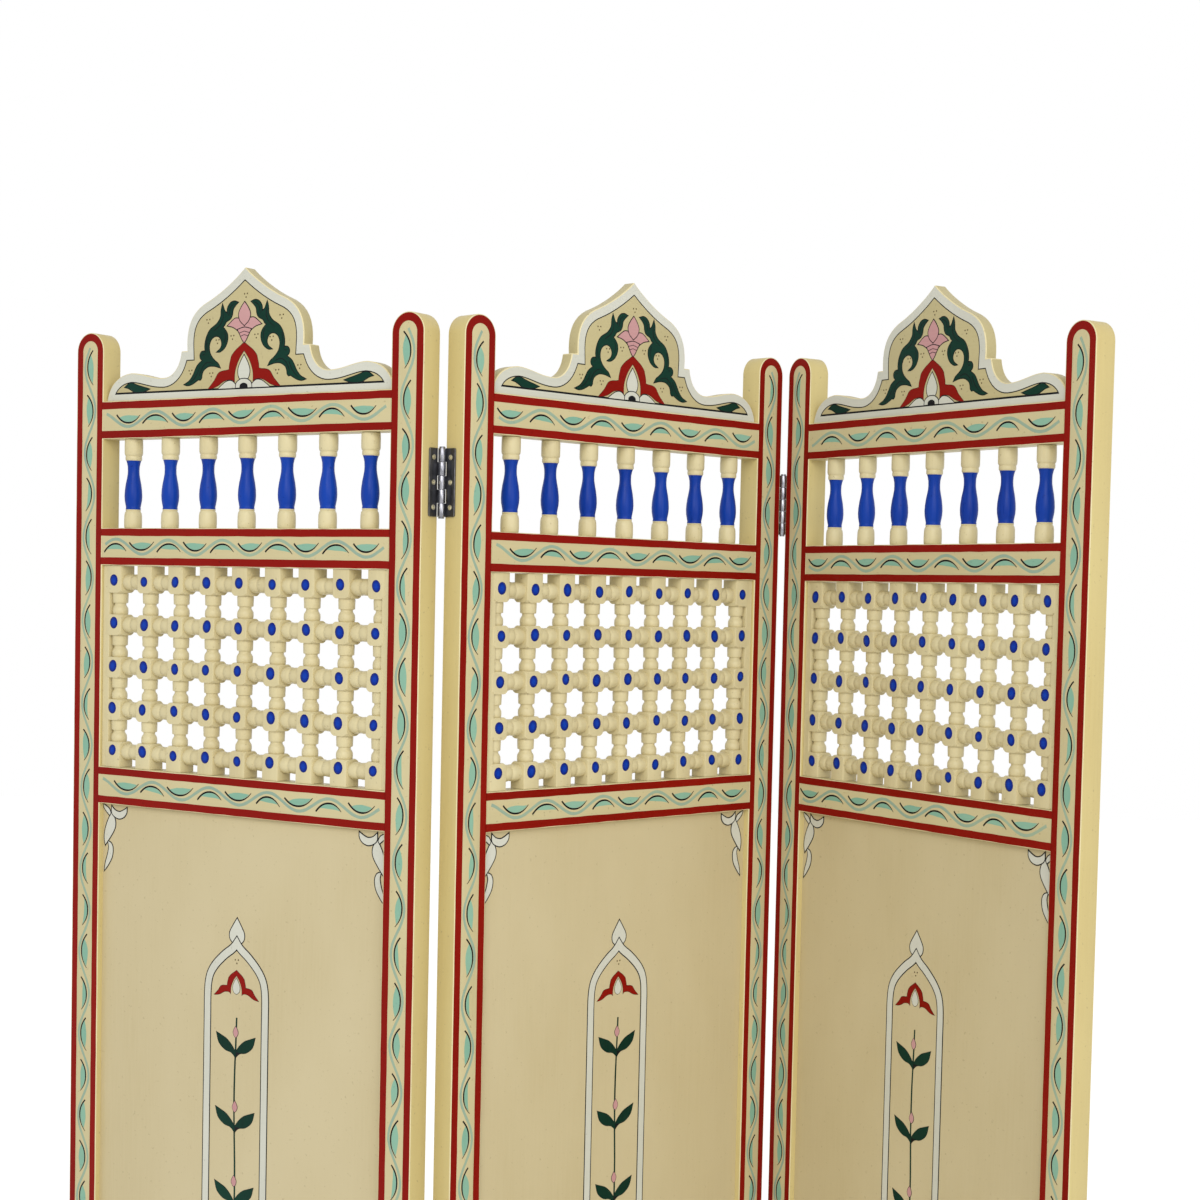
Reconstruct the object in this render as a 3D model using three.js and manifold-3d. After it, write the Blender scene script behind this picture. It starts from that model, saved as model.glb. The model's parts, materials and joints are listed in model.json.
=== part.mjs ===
// A folding screen of three painted wooden panels.
// Each panel is a frame of two round-headed posts and four rails. It holds, from the top down, a
// crest board cut to an ogee, a row of turned balusters, a lattice of square blocks joined by
// turned links, and a thin painted board. Butt hinges join the panels, folding to opposite sides.
// Lengths are in millimetres and angles in degrees. +Z is up and the painted fronts face -Y.
import * as THREE from 'three';
import { mergeVertices } from 'three/addons/utils/BufferGeometryUtils.js';
import Module from 'manifold-3d';

const wasm = await Module();
wasm.setup();

// ---- Frame ----
const PANEL_WIDTH = 500; // over both posts
const POST_HEIGHT = 1740; // floor to the top of the round head
const POST_WIDTH = 42; // seen from the front
const RAIL_WIDTH = 42; // upright face of a rail
const FRAME_DEPTH = 26; // front to back, posts and rails alike
const CREST_DROP = 78; // top of a post down to the top rail
const BALUSTER_OPENING = 100; // clear height between top and middle rail
const LATTICE_OPENING = 228; // clear height between middle and lower rail
const BOTTOM_RAIL_RISE = 90; // floor to the underside of the bottom rail
const HEAD_STEPS = 6; // facets round each quarter of a post's head

// ---- Joinery ----
const FIT = 0.3; // clearance between pieces that touch
const TENON_LENGTH = 24; // how far a rail enters a post
const TENON_THICKNESS = 9;
const TENON_SHOULDER = 7; // rail left above and below a tenon

// ---- Crest board ----
const CREST_THICKNESS = 15;
const CREST_SETBACK = 5.5; // its front behind the front of the frame
const CREST_HEIGHT = 138; // apex above the top rail
const CREST_HUMP_HEIGHT = 31; // low round hump beside each post
const CREST_HUMP_REACH = 37; // from the post to the hump's top
const CREST_DIP_HEIGHT = 24;
const CREST_DIP_REACH = 88; // from the post to the lowest point of the dip
const CREST_STEP_HEIGHT = 52; // small square step under the ogee
const CREST_STEP_WIDTH = 10;
const CREST_OGEE_WIDTH = 174; // between the two steps
const CREST_SHOULDER_HEIGHT = 105; // where the ogee turns from convex to hollow
const CREST_SHOULDER_WIDTH = 112;
const CREST_TONGUE_THICKNESS = 7;
const CREST_TONGUE_DEPTH = 6; // let into a groove in the top rail
const CREST_TONGUE_INSET = 12; // from each end of the board
const CREST_STEPS = 4; // facets along each curve of the outline

// ---- Painted board ----
const BOARD_THICKNESS = 8;
const BOARD_SETBACK = 7; // its front behind the front of the frame
const BOARD_GROOVE = 8; // depth of the groove that it stands in

// ---- Balusters ----
const BALUSTER_COUNT = 7;
const BALUSTER_END_SPACE = 36; // from a post to the middle of the first baluster
const BALUSTER_RADIUS = 9; // plain turned blocks at both ends
const BALUSTER_FOOT_HEIGHT = 22;
const BALUSTER_TOP_HEIGHT = 23;
const BALUSTER_WAIST_RADIUS = 7.4; // under the top block and over the foot
const BALUSTER_BELLY_RADIUS = 9;
const BALUSTER_BELLY_RISE = 14; // foot to the widest place of the vase
const BALUSTER_NECK_RADIUS = 6.4;
const BALUSTER_NECK_RISE = 42; // foot to the narrowest place
const BALUSTER_SIDES = 8;

// ---- Lattice ----
const LATTICE_COLUMNS = 9;
const LATTICE_ROWS = 5;
const LATTICE_SETBACK = 2.5; // front of the blocks behind the front of the frame
const LATTICE_DEPTH = 21;
const BLOCK_WIDTH = 22.5; // square blocks, across
const BLOCK_HEIGHT = 23.5; // and upright
const BLOCK_END_SPACE = 18; // from a rail to the middle of the first row
const BLOCK_SIDE_SPACE = 17.5; // from a post to the middle of the first column
const STRIP_HOUSING = 1; // how far the end blocks are let into the strip along a post
const STRIP_SETBACK = 2; // strip behind the blocks, front and back
const SPINDLE_NECK = 8.6; // upright links, radius at the blocks
const SPINDLE_BARREL = 9.4; // in the middle of each of their two barrels
const SPINDLE_GROOVE = 6.8; // and in the groove between the barrels
const LINK_NECK = 8.2; // level links, radius at the blocks
const LINK_BARREL = 9.4; // and halfway
const LINK_SIDES = 6;

// ---- Hinges ----
const HINGE_HEIGHT = 70;
const HINGE_INSET = 172; // end of a post to the middle of a hinge
const HINGE_KNUCKLES = 5;
const KNUCKLE_RADIUS = 4;
const KNUCKLE_PLAY = 0.3; // upright gap between two knuckles
const KNUCKLE_SIDES = 8;
const PIN_RADIUS = 2;
const PIN_HEAD_RADIUS = 3.2;
const PIN_HEAD_HEIGHT = 1.5;
const LEAF_THICKNESS = 1.5;
const LEAF_WIDTH = 17; // from the pin to the free edge
const AXIS_PROUD = 1.2; // pin outside the face of the panels
const SCREWS_PER_LEAF = 3;
const SCREW_END_SPACE = 9.5; // end of a leaf to the first screw
const SCREW_HEAD_RADIUS = 2.8;
const SCREW_HEAD_HEIGHT = 0.5;
const SCREW_RADIUS = 1.3;
const SCREW_LENGTH = 12;
const SCREW_SIDES = 6;
const PIN_SIDES = 8;

// ---- Standing pose ----
const LEFT_FOLD = 78.7; // turn between the centre and the left panel, 0 when flat
const RIGHT_FOLD = 103.2; // turn between the centre and the right panel, 0 when flat
const CENTRE_YAW = 45.2; // of the centre panel, from the X axis

// ---- Levels and places that follow ----
const INNER_WIDTH = PANEL_WIDTH - 2 * POST_WIDTH;
const TOP_RAIL = POST_HEIGHT - CREST_DROP - RAIL_WIDTH; // underside of each rail
const MIDDLE_RAIL = TOP_RAIL - BALUSTER_OPENING - RAIL_WIDTH;
const LOWER_RAIL = MIDDLE_RAIL - LATTICE_OPENING - RAIL_WIDTH;
const BOTTOM_RAIL = BOTTOM_RAIL_RISE;
const FRAME_MIDDLE = FRAME_DEPTH / 2;
const AXIS_ASIDE = KNUCKLE_RADIUS + FIT; // pin to the edge face of a post
const LEAF_NEAR = AXIS_ASIDE - FIT - LEAF_THICKNESS; // pin plane to the outer face of a leaf
const HINGE_LEVELS = { lower: HINGE_INSET, upper: POST_HEIGHT - HINGE_INSET };

// ---- Solids ----
function toSolid(geometry) {
  const bare = geometry.clone();
  bare.deleteAttribute('normal');
  bare.deleteAttribute('uv');
  const merged = mergeVertices(bare, 1e-4);
  return new wasm.Manifold(new wasm.Mesh({
    numProp: 3,
    vertProperties: new Float32Array(merged.attributes.position.array),
    triVerts: new Uint32Array(merged.index.array),
  }));
}

function toGeometry(solid) {
  const { vertProperties, triVerts } = solid.getMesh();
  const geometry = new THREE.BufferGeometry();
  geometry.setAttribute('position', new THREE.BufferAttribute(new Float32Array(vertProperties), 3));
  geometry.setIndex(new THREE.BufferAttribute(new Uint32Array(triVerts), 1));
  geometry.computeVertexNormals();
  return geometry;
}

// A box between two corners.
function boxBetween(x0, x1, y0, y1, z0, z1) {
  const box = new THREE.BoxGeometry(Math.abs(x1 - x0), Math.abs(y1 - y0), Math.abs(z1 - z0));
  box.translate((x0 + x1) / 2, (y0 + y1) / 2, (z0 + z1) / 2);
  return box;
}

// An outline drawn in X and Z, made solid from y0 to y1.
function slabBetween(outline, y0, y1, curveSegments) {
  const slab = new THREE.ExtrudeGeometry(outline, { depth: y1 - y0, bevelEnabled: false, curveSegments });
  slab.rotateX(Math.PI / 2);
  slab.translate(0, y1, 0);
  return slab;
}

// An upright cylinder or ring piece with its foot at z0.
function uprightCylinder(radius, z0, z1, sides) {
  const cylinder = new THREE.CylinderGeometry(radius, radius, z1 - z0, sides);
  cylinder.rotateX(Math.PI / 2);
  cylinder.translate(0, 0, (z0 + z1) / 2);
  return cylinder;
}

function makeMesh(name, geometry, material) {
  const mesh = new THREE.Mesh(geometry, material);
  mesh.name = name;
  return mesh;
}

// ---- Materials ----
function paintedWood(color, roughness) {
  return new THREE.MeshStandardMaterial({ color, roughness, metalness: 0 });
}

function makeMaterials() {
  return {
    frame: paintedWood(0xcabe97, 0.55),
    crest: paintedWood(0xd2c8a4, 0.5),
    board: paintedWood(0xcdc29b, 0.5),
    baluster: paintedWood(0x1c469e, 0.4),
    lattice: paintedWood(0xc3b391, 0.5),
    leaf: new THREE.MeshStandardMaterial({ color: 0x44413e, roughness: 0.45, metalness: 0.9 }),
    pin: new THREE.MeshStandardMaterial({ color: 0x77726b, roughness: 0.35, metalness: 0.9 }),
  };
}

// ---- Frame pieces ----
// Where a post's left edge is, and which way its inner face looks: +1 is right, -1 left.
function postPlace(side) {
  return side === 'left' ? { x0: 0, inward: 1 } : { x0: PANEL_WIDTH - POST_WIDTH, inward: -1 };
}

function innerFace(place) {
  return place.inward > 0 ? place.x0 + POST_WIDTH : place.x0;
}

function outerFace(place) {
  return place.inward > 0 ? place.x0 : place.x0 + POST_WIDTH;
}

function postOutline(x0) {
  const radius = POST_WIDTH / 2;
  const outline = new THREE.Shape();
  outline.moveTo(x0, 0);
  outline.lineTo(x0 + POST_WIDTH, 0);
  outline.absarc(x0 + radius, POST_HEIGHT - radius, radius, 0, Math.PI, false);
  outline.closePath();
  return outline;
}

// A mortise is the tenon's size and place with the clearance all round.
function mortise(place, railLevel) {
  const face = innerFace(place);
  return boxBetween(
    face + place.inward * FIT,
    face - place.inward * (TENON_LENGTH + 2 * FIT),
    FRAME_MIDDLE - TENON_THICKNESS / 2 - FIT,
    FRAME_MIDDLE + TENON_THICKNESS / 2 + FIT,
    railLevel + TENON_SHOULDER - FIT,
    railLevel + RAIL_WIDTH - TENON_SHOULDER + FIT,
  );
}

// Groove in a post for one edge of the painted board.
function boardGroove(place) {
  const face = innerFace(place);
  return boxBetween(
    face + place.inward * FIT,
    face - place.inward * (BOARD_GROOVE + FIT),
    BOARD_SETBACK - FIT,
    BOARD_SETBACK + BOARD_THICKNESS + FIT,
    BOTTOM_RAIL + RAIL_WIDTH - BOARD_GROOVE - FIT,
    LOWER_RAIL + BOARD_GROOVE + FIT,
  );
}

function screwLevels() {
  const span = HINGE_HEIGHT - 2 * SCREW_END_SPACE;
  const levels = [];
  for (let i = 0; i < SCREWS_PER_LEAF; i += 1) {
    levels.push(-HINGE_HEIGHT / 2 + SCREW_END_SPACE + (span * i) / (SCREWS_PER_LEAF - 1));
  }
  return levels;
}

// Depth of a hinge pin: behind the back faces for one fold, before the front faces for the other.
function axisDepth(fold) {
  return fold === 'left' ? FRAME_DEPTH + AXIS_PROUD : -AXIS_PROUD;
}

// A leaf reaches from the pin towards the middle of the post: -1 is forwards, +1 backwards.
function leafDirection(fold) {
  return fold === 'left' ? -1 : 1;
}

function screwDepth(fold) {
  const nearEdge = KNUCKLE_RADIUS;
  return axisDepth(fold) + leafDirection(fold) * (nearEdge + (LEAF_WIDTH - nearEdge) / 2);
}

// Pilot holes that take the screws of one hinge leaf in a post's edge face.
function pilotHoles(place, fold) {
  const face = outerFace(place);
  const holes = [];
  for (const level of Object.values(HINGE_LEVELS)) {
    for (const z of screwLevels()) {
      const hole = new THREE.CylinderGeometry(SCREW_RADIUS + FIT, SCREW_RADIUS + FIT, 1, SCREW_SIDES);
      hole.rotateZ(Math.PI / 2);
      hole.scale(SCREW_LENGTH + 1, 1, 1);
      hole.translate(face + place.inward * ((SCREW_LENGTH + 1) / 2 - FIT), screwDepth(fold), level + z);
      holes.push(hole);
    }
  }
  return holes;
}

function makePost(side, fold) {
  const place = postPlace(side);
  let post = toSolid(slabBetween(postOutline(place.x0), 0, FRAME_DEPTH, HEAD_STEPS));
  for (const level of [TOP_RAIL, MIDDLE_RAIL, LOWER_RAIL, BOTTOM_RAIL]) {
    post = post.subtract(toSolid(mortise(place, level)));
  }
  post = post.subtract(toSolid(boardGroove(place)));
  if (fold) {
    for (const hole of pilotHoles(place, fold)) {
      post = post.subtract(toSolid(hole));
    }
  }
  return toGeometry(post);
}

// A rail with a tenon at each end. Its cuts are grooves for the boards that it carries.
function makeRail(level, cuts) {
  const left = POST_WIDTH + FIT;
  const right = PANEL_WIDTH - POST_WIDTH - FIT;
  let rail = toSolid(boxBetween(left, right, 0, FRAME_DEPTH, level, level + RAIL_WIDTH));
  rail = rail.add(toSolid(boxBetween(
    POST_WIDTH - TENON_LENGTH,
    PANEL_WIDTH - POST_WIDTH + TENON_LENGTH,
    FRAME_MIDDLE - TENON_THICKNESS / 2,
    FRAME_MIDDLE + TENON_THICKNESS / 2,
    level + TENON_SHOULDER,
    level + RAIL_WIDTH - TENON_SHOULDER,
  )));
  for (const cut of cuts) {
    rail = rail.subtract(toSolid(cut));
  }
  return toGeometry(rail);
}

// Groove along a rail for the painted board, in its upper or its lower edge.
function railBoardGroove(z0, z1) {
  return boxBetween(
    0,
    PANEL_WIDTH,
    BOARD_SETBACK - FIT,
    BOARD_SETBACK + BOARD_THICKNESS + FIT,
    z0,
    z1,
  );
}

// ---- Crest board ----
function crestMiddle() {
  return CREST_SETBACK + CREST_THICKNESS / 2;
}

// One half of the outline, from the post to the apex, as curves on the side given by the sign.
function crestOutline() {
  const half = INNER_WIDTH / 2 - FIT;
  const centre = PANEL_WIDTH / 2;
  const base = TOP_RAIL + RAIL_WIDTH + FIT;
  const shape = new THREE.Shape();
  const at = (side, x, z) => [centre + side * x, base + z];
  const hump = half - CREST_HUMP_REACH;
  const dip = half - CREST_DIP_REACH;
  const ogee = CREST_OGEE_WIDTH / 2;
  const step = ogee + CREST_STEP_WIDTH;
  const shoulder = CREST_SHOULDER_WIDTH / 2;
  const curves = [
    [[half, 0], [half - 2, CREST_HUMP_HEIGHT * 0.45], [half - 12, CREST_HUMP_HEIGHT * 0.94],
      [hump, CREST_HUMP_HEIGHT]],
    [[hump, CREST_HUMP_HEIGHT], [hump - 18, CREST_HUMP_HEIGHT], [dip + 20, CREST_DIP_HEIGHT],
      [dip, CREST_DIP_HEIGHT]],
    [[dip, CREST_DIP_HEIGHT], [dip - 12, CREST_DIP_HEIGHT], [step + 2, CREST_DIP_HEIGHT + 11],
      [step, CREST_STEP_HEIGHT]],
    [[ogee, CREST_STEP_HEIGHT], [ogee + 2, CREST_STEP_HEIGHT + 26], [ogee - 9, CREST_SHOULDER_HEIGHT - 11],
      [shoulder, CREST_SHOULDER_HEIGHT]],
    [[shoulder, CREST_SHOULDER_HEIGHT], [shoulder - 20, CREST_SHOULDER_HEIGHT + 8],
      [14, CREST_HEIGHT - 13], [0, CREST_HEIGHT]],
  ];
  shape.moveTo(...at(1, half, 0));
  for (const [start, first, second, end] of curves) {
    shape.lineTo(...at(1, ...start));
    shape.bezierCurveTo(...at(1, ...first), ...at(1, ...second), ...at(1, ...end));
  }
  for (const [start, first, second, end] of curves.toReversed()) {
    shape.lineTo(...at(-1, ...end));
    shape.bezierCurveTo(...at(-1, ...second), ...at(-1, ...first), ...at(-1, ...start));
  }
  shape.closePath();
  return shape;
}

function crestTongue(clearance) {
  const base = TOP_RAIL + RAIL_WIDTH;
  const middle = crestMiddle();
  const inset = POST_WIDTH + CREST_TONGUE_INSET - clearance;
  return boxBetween(
    inset,
    PANEL_WIDTH - inset,
    middle - CREST_TONGUE_THICKNESS / 2 - clearance,
    middle + CREST_TONGUE_THICKNESS / 2 + clearance,
    base - CREST_TONGUE_DEPTH - clearance,
    base + 2 * FIT,
  );
}

function makeCrest() {
  const back = CREST_SETBACK + CREST_THICKNESS;
  const board = toSolid(slabBetween(crestOutline(), CREST_SETBACK, back, CREST_STEPS));
  return toGeometry(board.add(toSolid(crestTongue(0))));
}

// ---- Painted board ----
function makeBoard() {
  return boxBetween(
    POST_WIDTH - BOARD_GROOVE,
    PANEL_WIDTH - POST_WIDTH + BOARD_GROOVE,
    BOARD_SETBACK,
    BOARD_SETBACK + BOARD_THICKNESS,
    BOTTOM_RAIL + RAIL_WIDTH - BOARD_GROOVE,
    LOWER_RAIL + BOARD_GROOVE,
  );
}

// ---- Balusters ----
function makeBaluster(index) {
  const bottom = TOP_RAIL - BALUSTER_OPENING + FIT;
  const top = TOP_RAIL - FIT;
  const foot = bottom + BALUSTER_FOOT_HEIGHT;
  const cap = top - BALUSTER_TOP_HEIGHT;
  const profile = [
    [0, bottom],
    [BALUSTER_RADIUS, bottom],
    [BALUSTER_RADIUS, foot - 1.5],
    [BALUSTER_WAIST_RADIUS, foot],
    [BALUSTER_BELLY_RADIUS, foot + BALUSTER_BELLY_RISE],
    [BALUSTER_NECK_RADIUS, foot + BALUSTER_NECK_RISE],
    [BALUSTER_WAIST_RADIUS, cap],
    [BALUSTER_RADIUS, cap + 1.5],
    [BALUSTER_RADIUS, top],
    [0, top],
  ].map(([r, z]) => new THREE.Vector2(r, z));
  const turned = new THREE.LatheGeometry(profile, BALUSTER_SIDES);
  turned.rotateX(Math.PI / 2);
  const pitch = (INNER_WIDTH - 2 * BALUSTER_END_SPACE) / (BALUSTER_COUNT - 1);
  turned.translate(POST_WIDTH + BALUSTER_END_SPACE + pitch * index, FRAME_MIDDLE, 0);
  return toGeometry(toSolid(turned));
}

// ---- Lattice ----
// Adds the triangles between an outer and an inner loop that run the same way round one middle.
function bridgeLoops(triangles, outer, inner, angleOf) {
  const turn = (from, to) => {
    const step = angleOf(to) - angleOf(from);
    return step - 2 * Math.PI * Math.floor(step / (2 * Math.PI));
  };
  const start = inner.reduce((best, point, k) => (
    turn(outer[0], point) < turn(outer[0], inner[best]) ? k : best), 0);
  const ring = [...inner.slice(start), ...inner.slice(0, start)];
  let a = 0;
  let b = 0;
  while (a < outer.length || b < ring.length) {
    const nextOuter = a < outer.length ? turn(outer[0], outer[(a + 1) % outer.length]) : Infinity;
    const nextInner = b < ring.length ? turn(outer[0], ring[(b + 1) % ring.length]) : Infinity;
    const outerGo = a + 1 === outer.length ? 2 * Math.PI : nextOuter;
    const innerGo = b + 1 === ring.length ? 2 * Math.PI + turn(outer[0], ring[0]) : nextInner;
    const p = outer[a % outer.length];
    const q = ring[b % ring.length];
    if (a < outer.length && (b >= ring.length || outerGo <= innerGo)) {
      triangles.push(p, outer[(a + 1) % outer.length], q);
      a += 1;
    } else {
      triangles.push(p, ring[(b + 1) % ring.length], q);
      b += 1;
    }
  }
}

function addQuad(triangles, a, b, c, d) {
  triangles.push(a, b, c, a, c, d);
}

// The faces of a box, each given by its outward direction. A face with a link is left open inside
// the ring of the link, and a face that is not wanted is left out.
const FACES = {
  right: { n: [1, 0, 0], u: [0, 1, 0], v: [0, 0, 1] },
  left: { n: [-1, 0, 0], u: [0, -1, 0], v: [0, 0, 1] },
  back: { n: [0, 1, 0], u: [-1, 0, 0], v: [0, 0, 1] },
  front: { n: [0, -1, 0], u: [1, 0, 0], v: [0, 0, 1] },
  top: { n: [0, 0, 1], u: [1, 0, 0], v: [0, 1, 0] },
  bottom: { n: [0, 0, -1], u: [-1, 0, 0], v: [0, 1, 0] },
};

function ringPoints(centre, radius, u, v) {
  const points = [];
  for (let k = 0; k < LINK_SIDES; k += 1) {
    const angle = ((k + 0.5) * 2 * Math.PI) / LINK_SIDES;
    points.push(centre.clone()
      .addScaledVector(u, radius * Math.cos(angle))
      .addScaledVector(v, radius * Math.sin(angle)));
  }
  return points;
}

function addBox(triangles, low, high, faces) {
  const middle = low.clone().add(high).multiplyScalar(0.5);
  const half = high.clone().sub(low).multiplyScalar(0.5);
  for (const [name, link] of Object.entries(faces)) {
    const n = new THREE.Vector3(...FACES[name].n);
    const u = new THREE.Vector3(...FACES[name].u);
    const v = new THREE.Vector3(...FACES[name].v);
    const corner = (su, sv) => middle.clone()
      .add(n.clone().multiply(half))
      .add(u.clone().multiply(half).multiplyScalar(su))
      .add(v.clone().multiply(half).multiplyScalar(sv));
    const square = [corner(-1, -1), corner(1, -1), corner(1, 1), corner(-1, 1)];
    if (!link) {
      addQuad(triangles, ...square);
      continue;
    }
    const centre = n.clone().multiply(half).add(middle);
    if (link.z !== undefined) {
      centre.z = link.z;
    }
    const ring = ringPoints(centre, link.radius, u, v);
    const angleOf = (point) => {
      const from = point.clone().sub(centre);
      return Math.atan2(from.dot(v), from.dot(u));
    };
    bridgeLoops(triangles, square, ring, angleOf);
  }
}

// A turned link between two blocks. Its radii are those at equal steps from one to the other.
function addLink(triangles, from, to, radii, u, v) {
  const rings = radii.map((radius, r) => (
    ringPoints(from.clone().lerp(to, r / (radii.length - 1)), radius, u, v)));
  for (let r = 0; r + 1 < rings.length; r += 1) {
    for (let k = 0; k < LINK_SIDES; k += 1) {
      const next = (k + 1) % LINK_SIDES;
      addQuad(triangles, rings[r][k], rings[r][next], rings[r + 1][next], rings[r + 1][k]);
    }
  }
}

function latticePlaces() {
  const bottom = LOWER_RAIL + RAIL_WIDTH;
  const columns = [];
  const rows = [];
  const across = (INNER_WIDTH - 2 * BLOCK_SIDE_SPACE) / (LATTICE_COLUMNS - 1);
  const along = (LATTICE_OPENING - 2 * BLOCK_END_SPACE) / (LATTICE_ROWS - 1);
  for (let c = 0; c < LATTICE_COLUMNS; c += 1) {
    columns.push(POST_WIDTH + BLOCK_SIDE_SPACE + across * c);
  }
  for (let r = 0; r < LATTICE_ROWS; r += 1) {
    rows.push(bottom + BLOCK_END_SPACE + along * r);
  }
  return { columns, rows, bottom: bottom + FIT, top: bottom + LATTICE_OPENING - FIT };
}

function makeLattice() {
  const triangles = [];
  const { columns, rows, bottom, top } = latticePlaces();
  const half = BLOCK_WIDTH / 2;
  const halfHeight = BLOCK_HEIGHT / 2;
  const front = LATTICE_SETBACK;
  const back = LATTICE_SETBACK + LATTICE_DEPTH;
  const middle = (front + back) / 2;
  const lastRow = rows.length - 1;
  const lastColumn = columns.length - 1;
  const spindle = { radius: SPINDLE_NECK };
  const level = { radius: LINK_NECK };
  const uprightRadii = [SPINDLE_NECK, SPINDLE_BARREL, SPINDLE_GROOVE, SPINDLE_BARREL, SPINDLE_NECK];
  const levelRadii = [LINK_NECK, LINK_BARREL, LINK_NECK];
  const X = new THREE.Vector3(1, 0, 0);
  const Y = new THREE.Vector3(0, 1, 0);
  const Z = new THREE.Vector3(0, 0, 1);
  columns.forEach((x, c) => {
    rows.forEach((z, r) => {
      const z0 = r === 0 ? bottom : z - halfHeight;
      const z1 = r === lastRow ? top : z + halfHeight;
      addBox(
        triangles,
        new THREE.Vector3(x - half, front, z0),
        new THREE.Vector3(x + half, back, z1),
        {
          front: null,
          back: null,
          left: c === 0 ? null : { ...level, z },
          right: c === lastColumn ? null : { ...level, z },
          top: r === lastRow ? null : spindle,
          bottom: r === 0 ? null : spindle,
        },
      );
      if (r < lastRow) {
        const from = new THREE.Vector3(x, middle, z + halfHeight);
        const to = new THREE.Vector3(x, middle, rows[r + 1] - halfHeight);
        addLink(triangles, from, to, uprightRadii, X, Y);
      }
      if (c < lastColumn) {
        const from = new THREE.Vector3(x + half, middle, z);
        const to = new THREE.Vector3(columns[c + 1] - half, middle, z);
        addLink(triangles, from, to, levelRadii, Y, Z);
      }
    });
  });
  const geometry = new THREE.BufferGeometry().setFromPoints(triangles);
  const strips = [
    [POST_WIDTH + FIT, columns[0] - half + STRIP_HOUSING],
    [columns[lastColumn] + half - STRIP_HOUSING, PANEL_WIDTH - POST_WIDTH - FIT],
  ];
  let lattice = toSolid(mergeVertices(geometry, 1e-3));
  for (const [x0, x1] of strips) {
    const strip = boxBetween(x0, x1, front + STRIP_SETBACK, back - STRIP_SETBACK, bottom, top);
    lattice = lattice.add(toSolid(strip));
  }
  return toGeometry(lattice);
}

// ---- Hinges ----
function knuckleSpan(index) {
  const pitch = HINGE_HEIGHT / HINGE_KNUCKLES;
  const z0 = -HINGE_HEIGHT / 2 + pitch * index + (index === 0 ? 0 : KNUCKLE_PLAY / 2);
  const z1 = -HINGE_HEIGHT / 2 + pitch * (index + 1) - (index === HINGE_KNUCKLES - 1 ? 0 : KNUCKLE_PLAY / 2);
  return [z0, z1];
}

// A leaf on the edge face of a post, drawn about its pin. The post lies on the given side of the
// pin in X, and the leaf reaches in the given direction in Y. Its knuckles start at the first one
// or the second one and take every other. Three screws hold it, drawn in one piece with it.
function makeLeaf(side, reach, firstKnuckle) {
  const outer = side * LEAF_NEAR;
  const inner = side * (LEAF_NEAR + LEAF_THICKNESS);
  const nearEdge = reach * (KNUCKLE_RADIUS + FIT);
  let leaf = toSolid(boxBetween(
    outer, inner, nearEdge, reach * LEAF_WIDTH, -HINGE_HEIGHT / 2, HINGE_HEIGHT / 2,
  ));
  for (let k = firstKnuckle; k < HINGE_KNUCKLES; k += 2) {
    const [z0, z1] = knuckleSpan(k);
    leaf = leaf.add(toSolid(uprightCylinder(KNUCKLE_RADIUS, z0, z1, KNUCKLE_SIDES)));
    leaf = leaf.add(toSolid(boxBetween(outer, inner, 0, nearEdge, z0, z1)));
  }
  for (const z of screwLevels()) {
    const y = reach * (KNUCKLE_RADIUS + (LEAF_WIDTH - KNUCKLE_RADIUS) / 2);
    const shank = new THREE.CylinderGeometry(SCREW_RADIUS, SCREW_RADIUS, SCREW_LENGTH, SCREW_SIDES);
    shank.rotateZ(Math.PI / 2);
    shank.translate(inner + (side * SCREW_LENGTH) / 2 - side * LEAF_THICKNESS / 2, y, z);
    leaf = leaf.add(toSolid(shank));
    const headHeight = SCREW_HEAD_HEIGHT + LEAF_THICKNESS / 2;
    const head = new THREE.CylinderGeometry(SCREW_HEAD_RADIUS, SCREW_HEAD_RADIUS, headHeight, SCREW_SIDES);
    head.rotateZ(Math.PI / 2);
    head.translate(outer - side * (SCREW_HEAD_HEIGHT - headHeight / 2), y, z);
    leaf = leaf.add(toSolid(head));
  }
  const bore = uprightCylinder(PIN_RADIUS + FIT, -HINGE_HEIGHT, HINGE_HEIGHT, KNUCKLE_SIDES);
  return toGeometry(leaf.subtract(toSolid(bore)));
}

function makePin() {
  const end = HINGE_HEIGHT / 2;
  const seat = end + FIT;
  const profile = [
    [0, -seat - PIN_HEAD_HEIGHT],
    [PIN_HEAD_RADIUS, -seat - PIN_HEAD_HEIGHT],
    [PIN_HEAD_RADIUS, -seat],
    [PIN_RADIUS, -seat],
    [PIN_RADIUS, seat],
    [PIN_HEAD_RADIUS, seat],
    [PIN_HEAD_RADIUS, seat + PIN_HEAD_HEIGHT],
    [0, seat + PIN_HEAD_HEIGHT],
  ].map(([r, z]) => new THREE.Vector2(r, z));
  const pin = new THREE.LatheGeometry(profile, PIN_SIDES);
  pin.rotateX(Math.PI / 2);
  return toGeometry(toSolid(pin));
}

// The hinge pieces that one panel carries at one of its two folds.
function addLeaves(panel, prefix, fold, side, firstKnuckle, withPin, materials) {
  const x = side < 0 ? PANEL_WIDTH + AXIS_ASIDE : -AXIS_ASIDE;
  for (const [levelName, z] of Object.entries(HINGE_LEVELS)) {
    const name = `${fold}_hinge_${levelName}`;
    const geometry = makeLeaf(side, leafDirection(fold), firstKnuckle);
    const leaf = makeMesh(`${name}_leaf_${prefix}`, geometry, materials.leaf);
    leaf.position.set(x, axisDepth(fold), z);
    panel.add(leaf);
    if (withPin) {
      const pin = makeMesh(`${name}_pin`, makePin(), materials.pin);
      pin.position.set(x, axisDepth(fold), z);
      panel.add(pin);
    }
  }
}

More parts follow.
